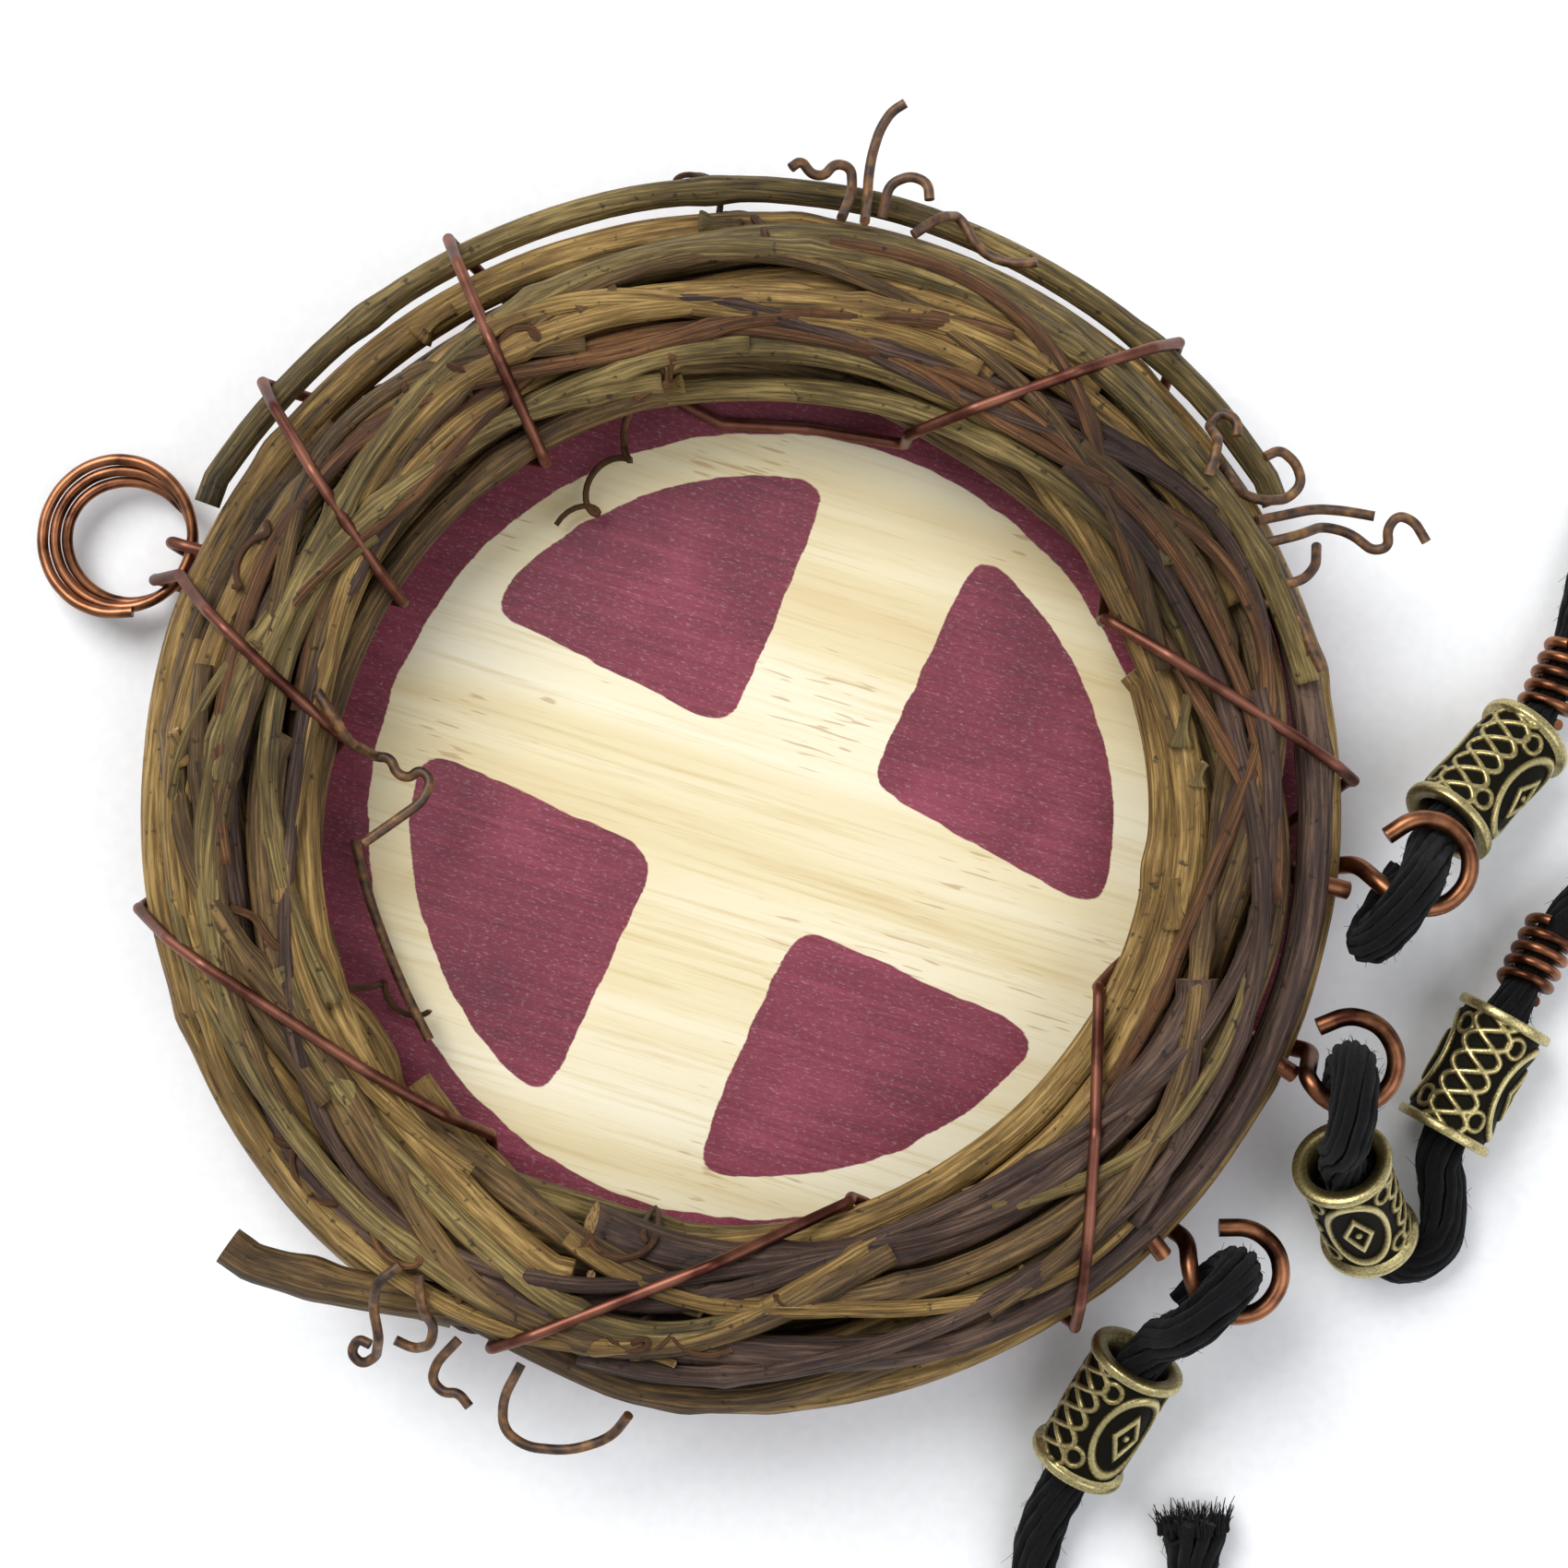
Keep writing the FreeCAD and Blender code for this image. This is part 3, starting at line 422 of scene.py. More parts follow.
@dataclass(frozen=True)
class PaintedPine:
    """Bare pine with hand-brushed plum acrylic: streaks along the grain, wavering edges, thin spots, and
    painted sheen glints.
    """

    grain_heading: float = -17.0
    wheel_inner_mm: float = 31.6
    wheel_outer_mm: float = 35.4
    corner_mm: float = 2.7
    waver_mm: float = 0.30
    thick_mm: float = 4.8
    edge_mm: float = 0.7
    # each pattern's repeats per millimetre, along the grain first
    bands_per_mm: tuple[float, float, float] = (0.010, 0.13, 0.13)
    fibres_per_mm: tuple[float, float, float] = (0.05, 1.6, 1.6)
    dashes_per_mm: tuple[float, float, float] = (0.30, 3.2, 1.0)
    bleed_per_mm: tuple[float, float, float] = (0.35, 3.0, 1.0)
    brush_per_mm: tuple[float, float, float] = (0.07, 2.4, 2.4)
    glints_per_mm: tuple[float, float, float] = (1.6, 4.6, 4.6)
    patches: tuple[Patch, ...] = (
        Patch((67.5, 6.0, 1), (-26.5, 6.5, 1)),
        Patch((64.5, -6.9, -1), (-28.3, 7.7, 1)),
        Patch((66.2, -6.5, -1), (-23.7, -6.9, -1)),
        Patch((65.0, 7.2, 1), (-24.4, -6.1, -1)),
    )

    def edge(self, tree: Tree, place: Socket, line: tuple[float, float, int]) -> Socket:
        """Distance outside one straight edge.

        Args:
            tree: the node tree.
            place: the place in millimetres.
            line: heading, offset and side.

        Returns:
            A socket that is negative on the painted side.
        """
        heading, offset, sign = line
        normal = (-math.sin(math.radians(heading)), math.cos(math.radians(heading)), 0)
        dot = add(tree, "VectorMath", {"operation": "DOT_PRODUCT", 1: normal}, {0: place})
        shift = {"operation": "MULTIPLY_ADD", 1: -sign, 2: sign * offset}
        return add(tree, "Math", shift, {0: dot.outputs["Value"]}).outputs[0]

    def build(self) -> Material:
        """Makes the material.

        Returns:
            The finish, ready for a slot.
        """
        material, tree, shader = new_material("painted_pine")
        coords = add(tree, "TexCoord").outputs["Object"]
        place = add(tree, "VectorMath", {"operation": "SCALE", "Scale": 1000.0}, {0: coords}).outputs[0]
        turned = {"vector_type": "TEXTURE", "Rotation": (0, 0, math.radians(self.grain_heading))}
        grain = add(tree, "Mapping", turned, {0: place}).outputs[0]
        wood, height = self.wood(tree, grain)
        mask = self.mask(tree, place, grain)
        paint = self.paint(tree, place, grain)
        colour = add(tree, "Mix", {"data_type": "RGBA"}, {0: mask, MIX_A: wood, MIX_B: paint})
        tree.links.new(colour.outputs[MIX_RESULT], shader.inputs["Base Color"])
        bump = add(tree, "Bump", {"Strength": 0.35, "Distance": 0.00012}, {"Height": height})
        tree.links.new(bump.outputs[0], shader.inputs["Normal"])
        rough = add(tree, "Math", {"operation": "MULTIPLY_ADD", 1: -0.12, 2: 0.62}, {0: mask})
        tree.links.new(rough.outputs[0], shader.inputs["Roughness"])
        return material

    def wood(self, tree: Tree, grain: Socket) -> tuple[Socket, Socket]:
        """Bare pine: broad bands, fine fibres and short brown resin dashes along the grain.

        Args:
            tree: the node tree.
            grain: places in millimetres, with X along the grain.

        Returns:
            The colour and a height for the bump.
        """
        wide = add(tree, "Mapping", {"Scale": self.bands_per_mm}, {0: grain}).outputs[0]
        bands = add(tree, "TexNoise", {"Scale": 1.0, "Detail": 3, "Distortion": 0.4}, {"Vector": wide})
        tone = ramp(tree, bands.outputs[0], [(0.28, "#D3BE8F"), (0.47, "#E0D2AA"), (0.68, "#E9E0C4")])
        thin = add(tree, "Mapping", {"Scale": self.fibres_per_mm}, {0: grain}).outputs[0]
        fibres = add(tree, "TexNoise", {"Scale": 1.0, "Detail": 4, "Roughness": 0.7}, {"Vector": thin})
        fine = ramp(tree, fibres.outputs[0], [(0.28, "#E6DABC"), (0.50, "#FFFFFF")])
        multiply = {"data_type": "RGBA", "blend_type": "MULTIPLY", 0: 0.7}
        mixed = add(tree, "Mix", multiply, {MIX_A: tone.outputs[0], MIX_B: fine.outputs[0]})
        short = add(tree, "Mapping", {"Scale": self.dashes_per_mm}, {0: grain}).outputs[0]
        dashes = add(tree, "TexNoise", {"Scale": 1.0, "Detail": 0}, {"Vector": short})
        flake = add(tree, "TexNoise", {"Scale": 0.09, "Detail": 1}, {"Vector": grain})
        both = add(tree, "Math", {"operation": "MULTIPLY"}, {0: dashes.outputs[0], 1: flake.outputs[0]})
        dash = ramp(tree, both.outputs[0], [(0.475, "#000000"), (0.52, "#C0C0C0")])
        resin = {"data_type": "RGBA", MIX_B: linear("#A8824F")}
        marked = add(tree, "Mix", resin, {0: dash.outputs[0], MIX_A: mixed.outputs[MIX_RESULT]})
        return marked.outputs[MIX_RESULT], fibres.outputs[0]

    def mask(self, tree: Tree, place: Socket, grain: Socket) -> Socket:
        """Where the paint is: four quarters and everything outside the wheel.

        Args:
            tree: the node tree.
            place: places in millimetres.
            grain: the same with X along the grain.

        Returns:
            One on paint and zero on bare wood.
        """
        flat = add(tree, "VectorMath", {"operation": "MULTIPLY", 1: (1, 1, 0)}, {0: place}).outputs[0]
        radius = add(tree, "VectorMath", {"operation": "LENGTH"}, {0: flat}).outputs["Value"]
        arc = add(tree, "Math", {"operation": "SUBTRACT", 1: self.wheel_inner_mm}, {0: radius}).outputs[0]
        nearest = add(tree, "Math", {"operation": "SUBTRACT", 0: self.wheel_outer_mm}, {1: radius}).outputs[0]
        for patch in self.patches:
            corner = {"operation": "SMOOTH_MAX", 2: self.corner_mm * 2}
            edges = {k: self.edge(tree, flat, line) for k, line in enumerate((patch.first, patch.second))}
            inner = add(tree, "Math", corner, edges).outputs[0]
            whole = add(tree, "Math", corner, {0: inner, 1: arc}).outputs[0]
            nearest = add(tree, "Math", {"operation": "MINIMUM"}, {0: nearest, 1: whole}).outputs[0]
        waver = add(tree, "TexNoise", {"Scale": 0.30, "Detail": 1}, {"Vector": place})
        rough = add(tree, "Mapping", {"Scale": self.bleed_per_mm}, {0: grain}).outputs[0]
        bleed = add(tree, "TexNoise", {"Scale": 1.0, "Detail": 2}, {"Vector": rough})
        wide = {"operation": "MULTIPLY_ADD", 1: self.waver_mm * 2.4}
        first = add(tree, "Math", wide, {0: waver.outputs[0], 2: nearest})
        narrow = {"operation": "MULTIPLY_ADD", 1: self.waver_mm * 0.6}
        second = add(tree, "Math", narrow, {0: bleed.outputs[0], 2: first.outputs[0]})
        shifted = add(tree, "Math", {"operation": "SUBTRACT", 1: self.waver_mm * 1.5}, {0: second.outputs[0]})
        soft = add(tree, "MapRange", {1: 0.05, 2: -0.05, 3: 0.0, 4: 1.0}, {0: shifted.outputs[0]})
        height = add(tree, "SeparateXYZ", links={0: place}).outputs[2]
        side = add(tree, "Math", {"operation": "LESS_THAN", 1: self.thick_mm - self.edge_mm}, {0: height})
        painted = add(tree, "Math", {"operation": "MAXIMUM"}, {0: soft.outputs[0], 1: side.outputs[0]})
        above = add(tree, "Math", {"operation": "GREATER_THAN", 1: self.edge_mm * 0.4}, {0: height})
        both = {0: painted.outputs[0], 1: above.outputs[0]}
        return add(tree, "Math", {"operation": "MULTIPLY"}, both).outputs[0]

    def paint(self, tree: Tree, place: Socket, grain: Socket) -> Socket:
        """Plum acrylic: brush streaks that follow the grain, over a mottled coat, and pale specks that are
        painted sheen glints.

        Args:
            tree: the node tree.
            place: places in millimetres.
            grain: the same with X along the grain.

        Returns:
            The colour.
        """
        brushed = add(tree, "Mapping", {"Scale": self.brush_per_mm}, {0: grain}).outputs[0]
        streaks = add(tree, "TexNoise", {"Scale": 1.0, "Detail": 5, "Roughness": 0.7}, {"Vector": brushed})
        coat = add(tree, "TexNoise", {"Scale": 0.12, "Detail": 3}, {"Vector": place})
        tone = add(tree, "Math", {"operation": "MULTIPLY_ADD", 1: 0.45}, {0: coat.outputs[0]})
        scaled = add(tree, "Math", {"operation": "MULTIPLY", 1: 0.55}, {0: streaks.outputs[0]})
        tree.links.new(scaled.outputs[0], tone.inputs[2])
        coloured = ramp(tree, tone.outputs[0], [(0.36, "#5C1527"), (0.5, "#732134"), (0.66, "#8A3449")])
        # pale specks stretched along the grain: painted sheen glints on the brush ridges, mixed into the
        # colour
        glint_place = add(tree, "Mapping", {"Scale": self.glints_per_mm}, {0: grain}).outputs[0]
        flecks = add(tree, "TexNoise", {"Scale": 1.0, "Detail": 4, "Roughness": 0.8}, {"Vector": glint_place})
        painted_glints = ramp(tree, flecks.outputs[0], [(0.55, "#000000"), (0.66, "#848484")])
        painted_glint_mix = {"data_type": "RGBA", MIX_B: linear("#D9C3C8")}
        mixed = add(tree, "Mix", painted_glint_mix, {0: painted_glints.outputs[0], MIX_A: coloured.outputs[0]})
        return mixed.outputs[MIX_RESULT]


@dataclass(frozen=True)
class AgedCopper:
    """Copper wire dipped in a darkening bath and wiped: brown in the lows, warm metal where it was rubbed."""

    name: str
    dark: str
    bright: str
    roughness: float = 0.38
    spot_mm: float = 1.6

    def build(self) -> Material:
        """Makes the material.

        Returns:
            The finish, ready for a slot.
        """
        material, tree, shader = new_material(self.name)
        place = add(tree, "TexCoord").outputs["Object"]
        spots = add(tree, "TexNoise", {"Scale": 1000 / self.spot_mm, "Detail": 4}, {"Vector": place})
        colour = ramp(tree, spots.outputs[0], [(0.35, self.dark), (0.62, self.bright)])
        tree.links.new(colour.outputs[0], shader.inputs["Base Color"])
        worn = {3: self.roughness - 0.08, 4: self.roughness + 0.14}
        rough = add(tree, "MapRange", worn, {0: spots.outputs[0]})
        tree.links.new(rough.outputs[0], shader.inputs["Roughness"])
        bump = add(tree, "Bump", {"Strength": 0.12, "Distance": 0.00005}, {"Height": spots.outputs[0]})
        tree.links.new(bump.outputs[0], shader.inputs["Normal"])
        shader.inputs["Metallic"].default_value = 1.0
        return material


@dataclass(frozen=True)
class AntiqueBrass:
    """Cast brass, blackened and then polished on its high lines, so that the recesses stay dark; the
    darkening towards the middle of the bore is painted shade.
    """

    grit_mm: float = 0.22  # coarser than real casting grit, so that the metal doesn't look smooth

    def build(self) -> Material:
        """Makes the material.

        Returns:
            The finish, ready for a slot.
        """
        material, tree, shader = new_material("antique_brass")
        # the relief attribute is the blackened recesses' patina on the outside, and painted shade inside the
        # bore
        relief = add(tree, "Attribute", {"attribute_name": "relief"})
        place = add(tree, "TexCoord").outputs["Object"]
        grit = add(tree, "TexNoise", {"Scale": 1000 / self.grit_mm, "Detail": 3}, {"Vector": place})
        worn = add(tree, "Math", {"operation": "MULTIPLY_ADD", 1: 0.55, 2: -0.27}, {0: grit.outputs[0]})
        height = add(tree, "Math", {"operation": "ADD"}, {0: relief.outputs["Fac"], 1: worn.outputs[0]})
        wiped = [(0.20, "#1B1810"), (0.5, "#554B2E"), (0.8, "#968757"), (0.97, "#C6BA86")]
        colour = ramp(tree, height.outputs[0], wiped)
        tree.links.new(colour.outputs[0], shader.inputs["Base Color"])
        rough = add(tree, "MapRange", {1: 0.1, 2: 0.9, 3: 0.7, 4: 0.33}, {0: height.outputs[0]})
        tree.links.new(rough.outputs[0], shader.inputs["Roughness"])
        bump = add(tree, "Bump", {"Strength": 0.35, "Distance": 0.00006}, {"Height": grit.outputs[0]})
        tree.links.new(bump.outputs[0], shader.inputs["Normal"])
        shader.inputs["Metallic"].default_value = 0.9
        return material


@dataclass(frozen=True)
class BlackYarn:
    """Spun acrylic yarn dyed black: matt fibres with a faint grey bloom at the edges."""

    fibre_mm: float = 0.16  # coarser than the real fibres, so that the yarn looks matt and spun

    def build(self) -> Material:
        """Makes the material.

        Returns:
            The finish, ready for a slot.
        """
        material, tree, shader = new_material("black_yarn")
        where = add(tree, "UVMap", {"uv_map": "round_and_along"})
        slant = add(tree, "Mapping", {"Rotation": (0, 0, 0.5), "Scale": (2.2, 0.9, 1)}, {0: where.outputs[0]})
        spun = {"Scale": 0.35 / self.fibre_mm, "Detail": 4}
        fibres = add(tree, "TexNoise", spun, {"Vector": slant.outputs[0]})
        colour = ramp(tree, fibres.outputs[0], [(0.35, "#030304"), (0.7, "#0F0F11")])
        tree.links.new(colour.outputs[0], shader.inputs["Base Color"])
        bump = add(tree, "Bump", {"Strength": 0.8, "Distance": 0.0002}, {"Height": fibres.outputs[0]})
        tree.links.new(bump.outputs[0], shader.inputs["Normal"])
        shader.inputs["Roughness"].default_value = 0.92
        shader.inputs["Specular IOR Level"].default_value = 0.2
        shader.inputs["Sheen Weight"].default_value = 0.05
        return material


@dataclass(frozen=True)
class HotGlue:
    """Hot-melt glue: milky, faintly see-through, with a smooth set skin."""

    cloud_mm: float = 2.0

    def build(self) -> Material:
        """Makes the material.

        Returns:
            The finish, ready for a slot.
        """
        material, tree, shader = new_material("hot_glue")
        place = add(tree, "TexCoord").outputs["Object"]
        cloud = add(tree, "TexNoise", {"Scale": 1000 / self.cloud_mm}, {"Vector": place})
        colour = ramp(tree, cloud.outputs[0], [(0.3, "#D9D9D4"), (0.7, "#F2F2EE")])
        tree.links.new(colour.outputs[0], shader.inputs["Base Color"])
        shader.inputs["Roughness"].default_value = 0.35
        return material


@dataclass(frozen=True)
class PaperTable:
    """Matt white card under the piece."""

    def build(self) -> Material:
        """Makes the material.

        Returns:
            The finish, ready for a slot.
        """
        material, tree, shader = new_material("white_card")
        place = add(tree, "TexCoord").outputs["Object"]
        tooth = add(tree, "TexNoise", {"Scale": 900.0, "Detail": 2}, {"Vector": place})
        colour = ramp(tree, tooth.outputs[0], [(0.3, "#F0F1F1"), (0.7, "#F5F5F5")])
        tree.links.new(colour.outputs[0], shader.inputs["Base Color"])
        shader.inputs["Roughness"].default_value = 0.9
        return material


# ---------------------------------------------------------------- camera, light and table


@dataclass
class Studio:
    """The table, the soft light and the camera above the piece."""

    aim_mm: tuple[float, float] = (2.0, 3.8)
    face_mm: float = 4.8
    distance_mm: float = 380.0
    view_mm: float = 141.1
    sensor_mm: float = 36.0
    window_watts: float = 12.0
    fill_watts: float = 4.5
    room_strength: float = 0.54
    table_m: float = 3.0
    table_gap_m: float = 0.0001

    def camera(self) -> None:
        """Hangs the camera straight above the piece."""
        data = bpy.data.cameras.new("camera_above")
        data.sensor_width = self.sensor_mm
        data.lens = self.sensor_mm * self.distance_mm / self.view_mm
        data.clip_start = 0.01
        camera = bpy.data.objects.new("camera_above", data)
        camera.location = (self.aim_mm[0] * MM, self.aim_mm[1] * MM, (self.distance_mm + self.face_mm) * MM)
        bpy.context.scene.collection.objects.link(camera)
        bpy.context.scene.camera = camera
        bpy.context.scene.view_settings.view_transform = "Standard"

    def light(
        self, name: str, place: tuple[float, float, float], size: float, power: float, colour: str
    ) -> None:
        """Adds one soft lamp that faces the piece.

        Args:
            name: the lamp's name.
            place: where it stands, in metres.
            size: its width.
            power: its watts.
            colour: its hex colour.
        """
        data = bpy.data.lights.new(name, "AREA")
        data.size = size
        data.energy = power
        data.color = linear(colour)[:3]
        lamp = bpy.data.objects.new(name, data)
        lamp.location = place
        lamp.rotation_euler = (Vector((0, 0, 0)) - Vector(place)).to_track_quat("-Z", "Y").to_euler()
        bpy.context.scene.collection.objects.link(lamp)

    def build(self) -> None:
        """Lays the table and sets the lights."""
        half, low = self.table_m / 2, -self.table_gap_m
        corners = np.array([(-half, -half, low), (half, -half, low), (half, half, low), (-half, half, low)])
        table = mesh_piece("table", corners, [(0, 1, 2, 3)], [PaperTable().build()], smooth=False)
        self.light("window", (-0.45, 0.55, 0.9), 0.7, self.window_watts, "#FFFFFF")
        self.light("fill", (0.6, -0.3, 0.8), 0.9, self.fill_watts, "#F4F7FF")
        world = bpy.data.worlds.new("room")
        bpy.context.scene.world = world
        world.use_nodes = True
        background = world.node_tree.nodes["Background"]
        background.inputs[0].default_value = linear("#F3F5F8")
        background.inputs[1].default_value = self.room_strength


# ---------------------------------------------------------------- cords


@dataclass(frozen=True)
class CordRoute:
    """One doubled yarn: its route, its length, and how its plies lie."""

    name: str
    points: tuple
    length_mm: float
    has_coil: bool
    pieces: tuple[str, ...]
    seed: int


CORD_A = CordRoute(
    "cord_a",
    (
        (57.7, -4.2, 8.9), (54.9, -8.2, 9.0), (53.2, -10.6, 13.2), (54.7, -8.5, 17.9),
        (57.2, -5.0, 18.2), (58.5, -3.1, 13.9), (59.3, -1.4, 9.8), (69.9, 9.1, 3.9),
        (73.8, 16.8, 2.9), (75.6, 25.0, 2.2), (79.8, 32.4, 2.1), (82.0, 39.0, 2.1),
    ),
    75.7, True, ("bead_a", "coil_a"), 11,
)
CORD_B = CordRoute(
    "cord_b",
    (
        (51.5, -24.6, 12.4), (51.6, -21.5, 11.8), (51.6, -20.2, 16.6), (51.3, -22.2, 21.4),
        (50.6, -27.4, 21.0), (50.5, -28.5, 14.5), (55.2, -37.8, 3.6), (57.9, -39.9, 2.3),
        (61.6, -37.9, 2.4), (61.6, -32.9, 3.6), (60.5, -29.0, 4.6), (67.9, -15.6, 4.6),
        (72.0, -8.4, 3.0), (78.6, -4.0, 2.2), (84.6, -3.0, 2.1),
    ),
    91.7, True, ("bead_b_lower", "bead_b_upper", "coil_b"), 12,
)
CORD_C = CordRoute(
    "cord_c",
    (
        (37.8, -43.2, 8.1), (41.2, -39.9, 8.2), (42.4, -38.7, 12.6), (41.0, -40.2, 17.0),
        (37.3, -44.0, 17.0), (34.6, -45.6, 9.8), (27.4, -58.5, 3.8), (24.2, -66.0, 2.2),
        (25.2, -73.5, 2.1), (31.5, -77.6, 2.1), (37.8, -74.2, 2.1), (39.3, -67.2, 2.1),
        (39.0, -62.8, 2.1),
    ),
    81.6, False, ("bead_c",), 13,
)


@dataclass
class YarnCords:
    """The three cords: a bundle of plies along each route, loose fibres and a frayed end."""

    diameter_mm: float = 4.2
    plies: int = 15
    inner_plies: int = 4
    ply_mm: float = 0.50
    twist_mm: float = 52.0
    hairs: int = 650
    step_mm: float = 0.45
    coil_squeeze: float = 0.33
    fray_mm: float = 6.0
    fray_spread: float = 0.75

    def spline(self, cord: CordRoute) -> np.ndarray:
        """Reads the smooth line that a cord's route gives.

        Args:
            cord: the cord.

        Returns:
            Its points in millimetres, about half a millimetre apart.
        """
        curve = bpy.data.curves.new(cord.name + "_line", "CURVE")
        curve.dimensions = "3D"
        spline = curve.splines.new("NURBS")
        spline.points.add(len(cord.points) - 1)
        for point, place in zip(spline.points, cord.points):
            point.co = (place[0] * MM, place[1] * MM, place[2] * MM, 1)
        spline.order_u = 3
        spline.use_endpoint_u = True
        spline.resolution_u = 24
        holder = bpy.data.objects.new(cord.name + "_line", curve)
        bpy.context.scene.collection.objects.link(holder)
        mesh = bpy.data.meshes.new_from_object(holder)
        line = np.array([tuple(v.co) for v in mesh.vertices]) / MM
        bpy.data.objects.remove(holder)
        bpy.data.meshes.remove(mesh)
        return line

    def spread(self, cord: CordRoute, line: np.ndarray) -> np.ndarray:
        """How wide the bundle is along the line: drawn in under a coil, open at the frayed end.

        Args:
            cord: the cord.
            line: its points.

        Returns:
            A factor for every point.
        """
        factor = np.ones(len(line))
        if cord.has_coil:
            low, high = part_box(cord.pieces[-1])
            middle = (np.array(low) + np.array(high)) / 2 / MM
            away = np.linalg.norm(line - middle, axis=1)
            factor -= self.coil_squeeze * np.clip(1.7 - away / 3.3, 0, 1)
        lengths = np.r_[0, np.cumsum(np.linalg.norm(np.diff(line, axis=0), axis=1))]
        left = lengths[-1] - lengths
        factor += self.fray_spread * np.clip(1 - left / self.fray_mm, 0, 1) ** 1.5
        return factor

    def build_one(self, cord: CordRoute, yarn: Material) -> None:
        """Makes one cord and its fibres.

        Args:
            cord: the cord.
            yarn: its finish.
        """
        rng = np.random.default_rng(cord.seed)
        line = resample(self.spline(cord), self.step_mm)
        _, side, up = frames_along(line)
        lengths = np.r_[0, np.cumsum(np.linalg.norm(np.diff(line, axis=0), axis=1))]
        spread = self.spread(cord, line)
        tubes = TubeMesh()
        orbit = self.diameter_mm / 2 - self.ply_mm
        for ply in range(self.plies):
            inner = ply < self.inner_plies
            reach = orbit * (0.42 if inner else 1.0) * spread
            share = ply / (self.inner_plies if inner else self.plies - self.inner_plies)
            turn = 2 * np.pi * (share + lengths / self.twist_mm)
            turn = turn + 0.22 * smooth_noise(len(line), 18, rng)
            reach = reach * (1 + 0.07 * smooth_noise(len(line), 10, rng))
            path = line + side * (reach * np.cos(turn))[:, None] + up * (reach * np.sin(turn))[:, None]
            end = len(path) - int(rng.integers(0, 5))
            uneven = 1 + 0.05 * smooth_noise(len(line), 5, rng)
            thick = self.ply_mm * (1.15 if inner else 1.0) * np.sqrt(spread) * uneven
            path[:, 2] = np.maximum(path[:, 2], thick * 1.13)
            wave = np.linspace(0, 2 * np.pi, 10, endpoint=False)[None, :]
            ridges = 1 + 0.10 * np.cos(3 * wave + lengths[:, None] * 2.4 + ply)
            tubes.add_tube(path[:end], (thick[:, None] * ridges)[:end], 10)
        piece = tubes.piece(cord.name + "_yarn", [yarn])
        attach(piece, cord.name)
        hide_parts(cord.name)
        fibres = self.fibres(cord, line, side, up, spread, rng, yarn)
        LOG.info("%s: %d plies", cord.name, self.plies)

    def fibres(
        self, cord: CordRoute, line: np.ndarray, side: np.ndarray, up: np.ndarray, spread: np.ndarray,
        rng: np.random.Generator, yarn: Material,
    ) -> Piece:
        """Fine loose fibres that stand off the yarn, and a tuft at its frayed end.

        Args:
            cord: the cord.
            line: its points.
            side: sideways vectors.
            up: the other sideways vectors.
            spread: the bundle's width factor.
            rng: the seeded source.
            yarn: the finish.

        Returns:
            The fibres' object.
        """
        tubes = TubeMesh()
        for _ in range(self.hairs):
            k = int(rng.integers(2, len(line) - 2))
            turn = rng.uniform(0, 2 * np.pi)
            out = side[k] * np.cos(turn) + up[k] * np.sin(turn)
            along = (line[k + 1] - line[k - 1]) * rng.choice([-1, 1])
            along /= np.linalg.norm(along)
            start = line[k] + out * (self.diameter_mm / 2 * spread[k] * 0.86)
            long = rng.uniform(0.5, 1.5)
            bend = rng.normal(0, 0.4, 3)
            t = np.linspace(0, 1, 5)[:, None]
            path = start + out * (0.45 * long * t) + along * (long * t) + bend * (0.5 * long * t * t)
            path[:, 2] = np.maximum(path[:, 2], 0.05)
            tubes.add_tube(path, np.linspace(0.035, 0.018, 5), 3)
        last = line[-1]
        along = line[-1] - line[-4]
        along /= np.linalg.norm(along)
        for _ in range(self.hairs // 3):
            turn = rng.uniform(0, 2 * np.pi)
            out = side[-1] * np.cos(turn) + up[-1] * np.sin(turn)
            start = last + out * (3.3 * math.sqrt(rng.uniform(0, 1))) - along * 1.2
            t = np.linspace(0, 1, 5)[:, None]
            path = start + along * (rng.uniform(1.2, 2.6) * t) + (out * 0.5 + rng.normal(0, 0.3, 3)) * t * t
            path[:, 2] = np.maximum(path[:, 2], 0.12)
            tubes.add_tube(path, np.linspace(0.10, 0.03, 5), 4)
        piece = tubes.piece(cord.name + "_fibres", [yarn])
        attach(piece, cord.name)
        return piece

    def build(self) -> None:
        """Makes all three cords."""
        yarn = BlackYarn().build()
        for cord in (CORD_A, CORD_B, CORD_C):
            self.build_one(cord, yarn)


# ---------------------------------------------------------------- wreath


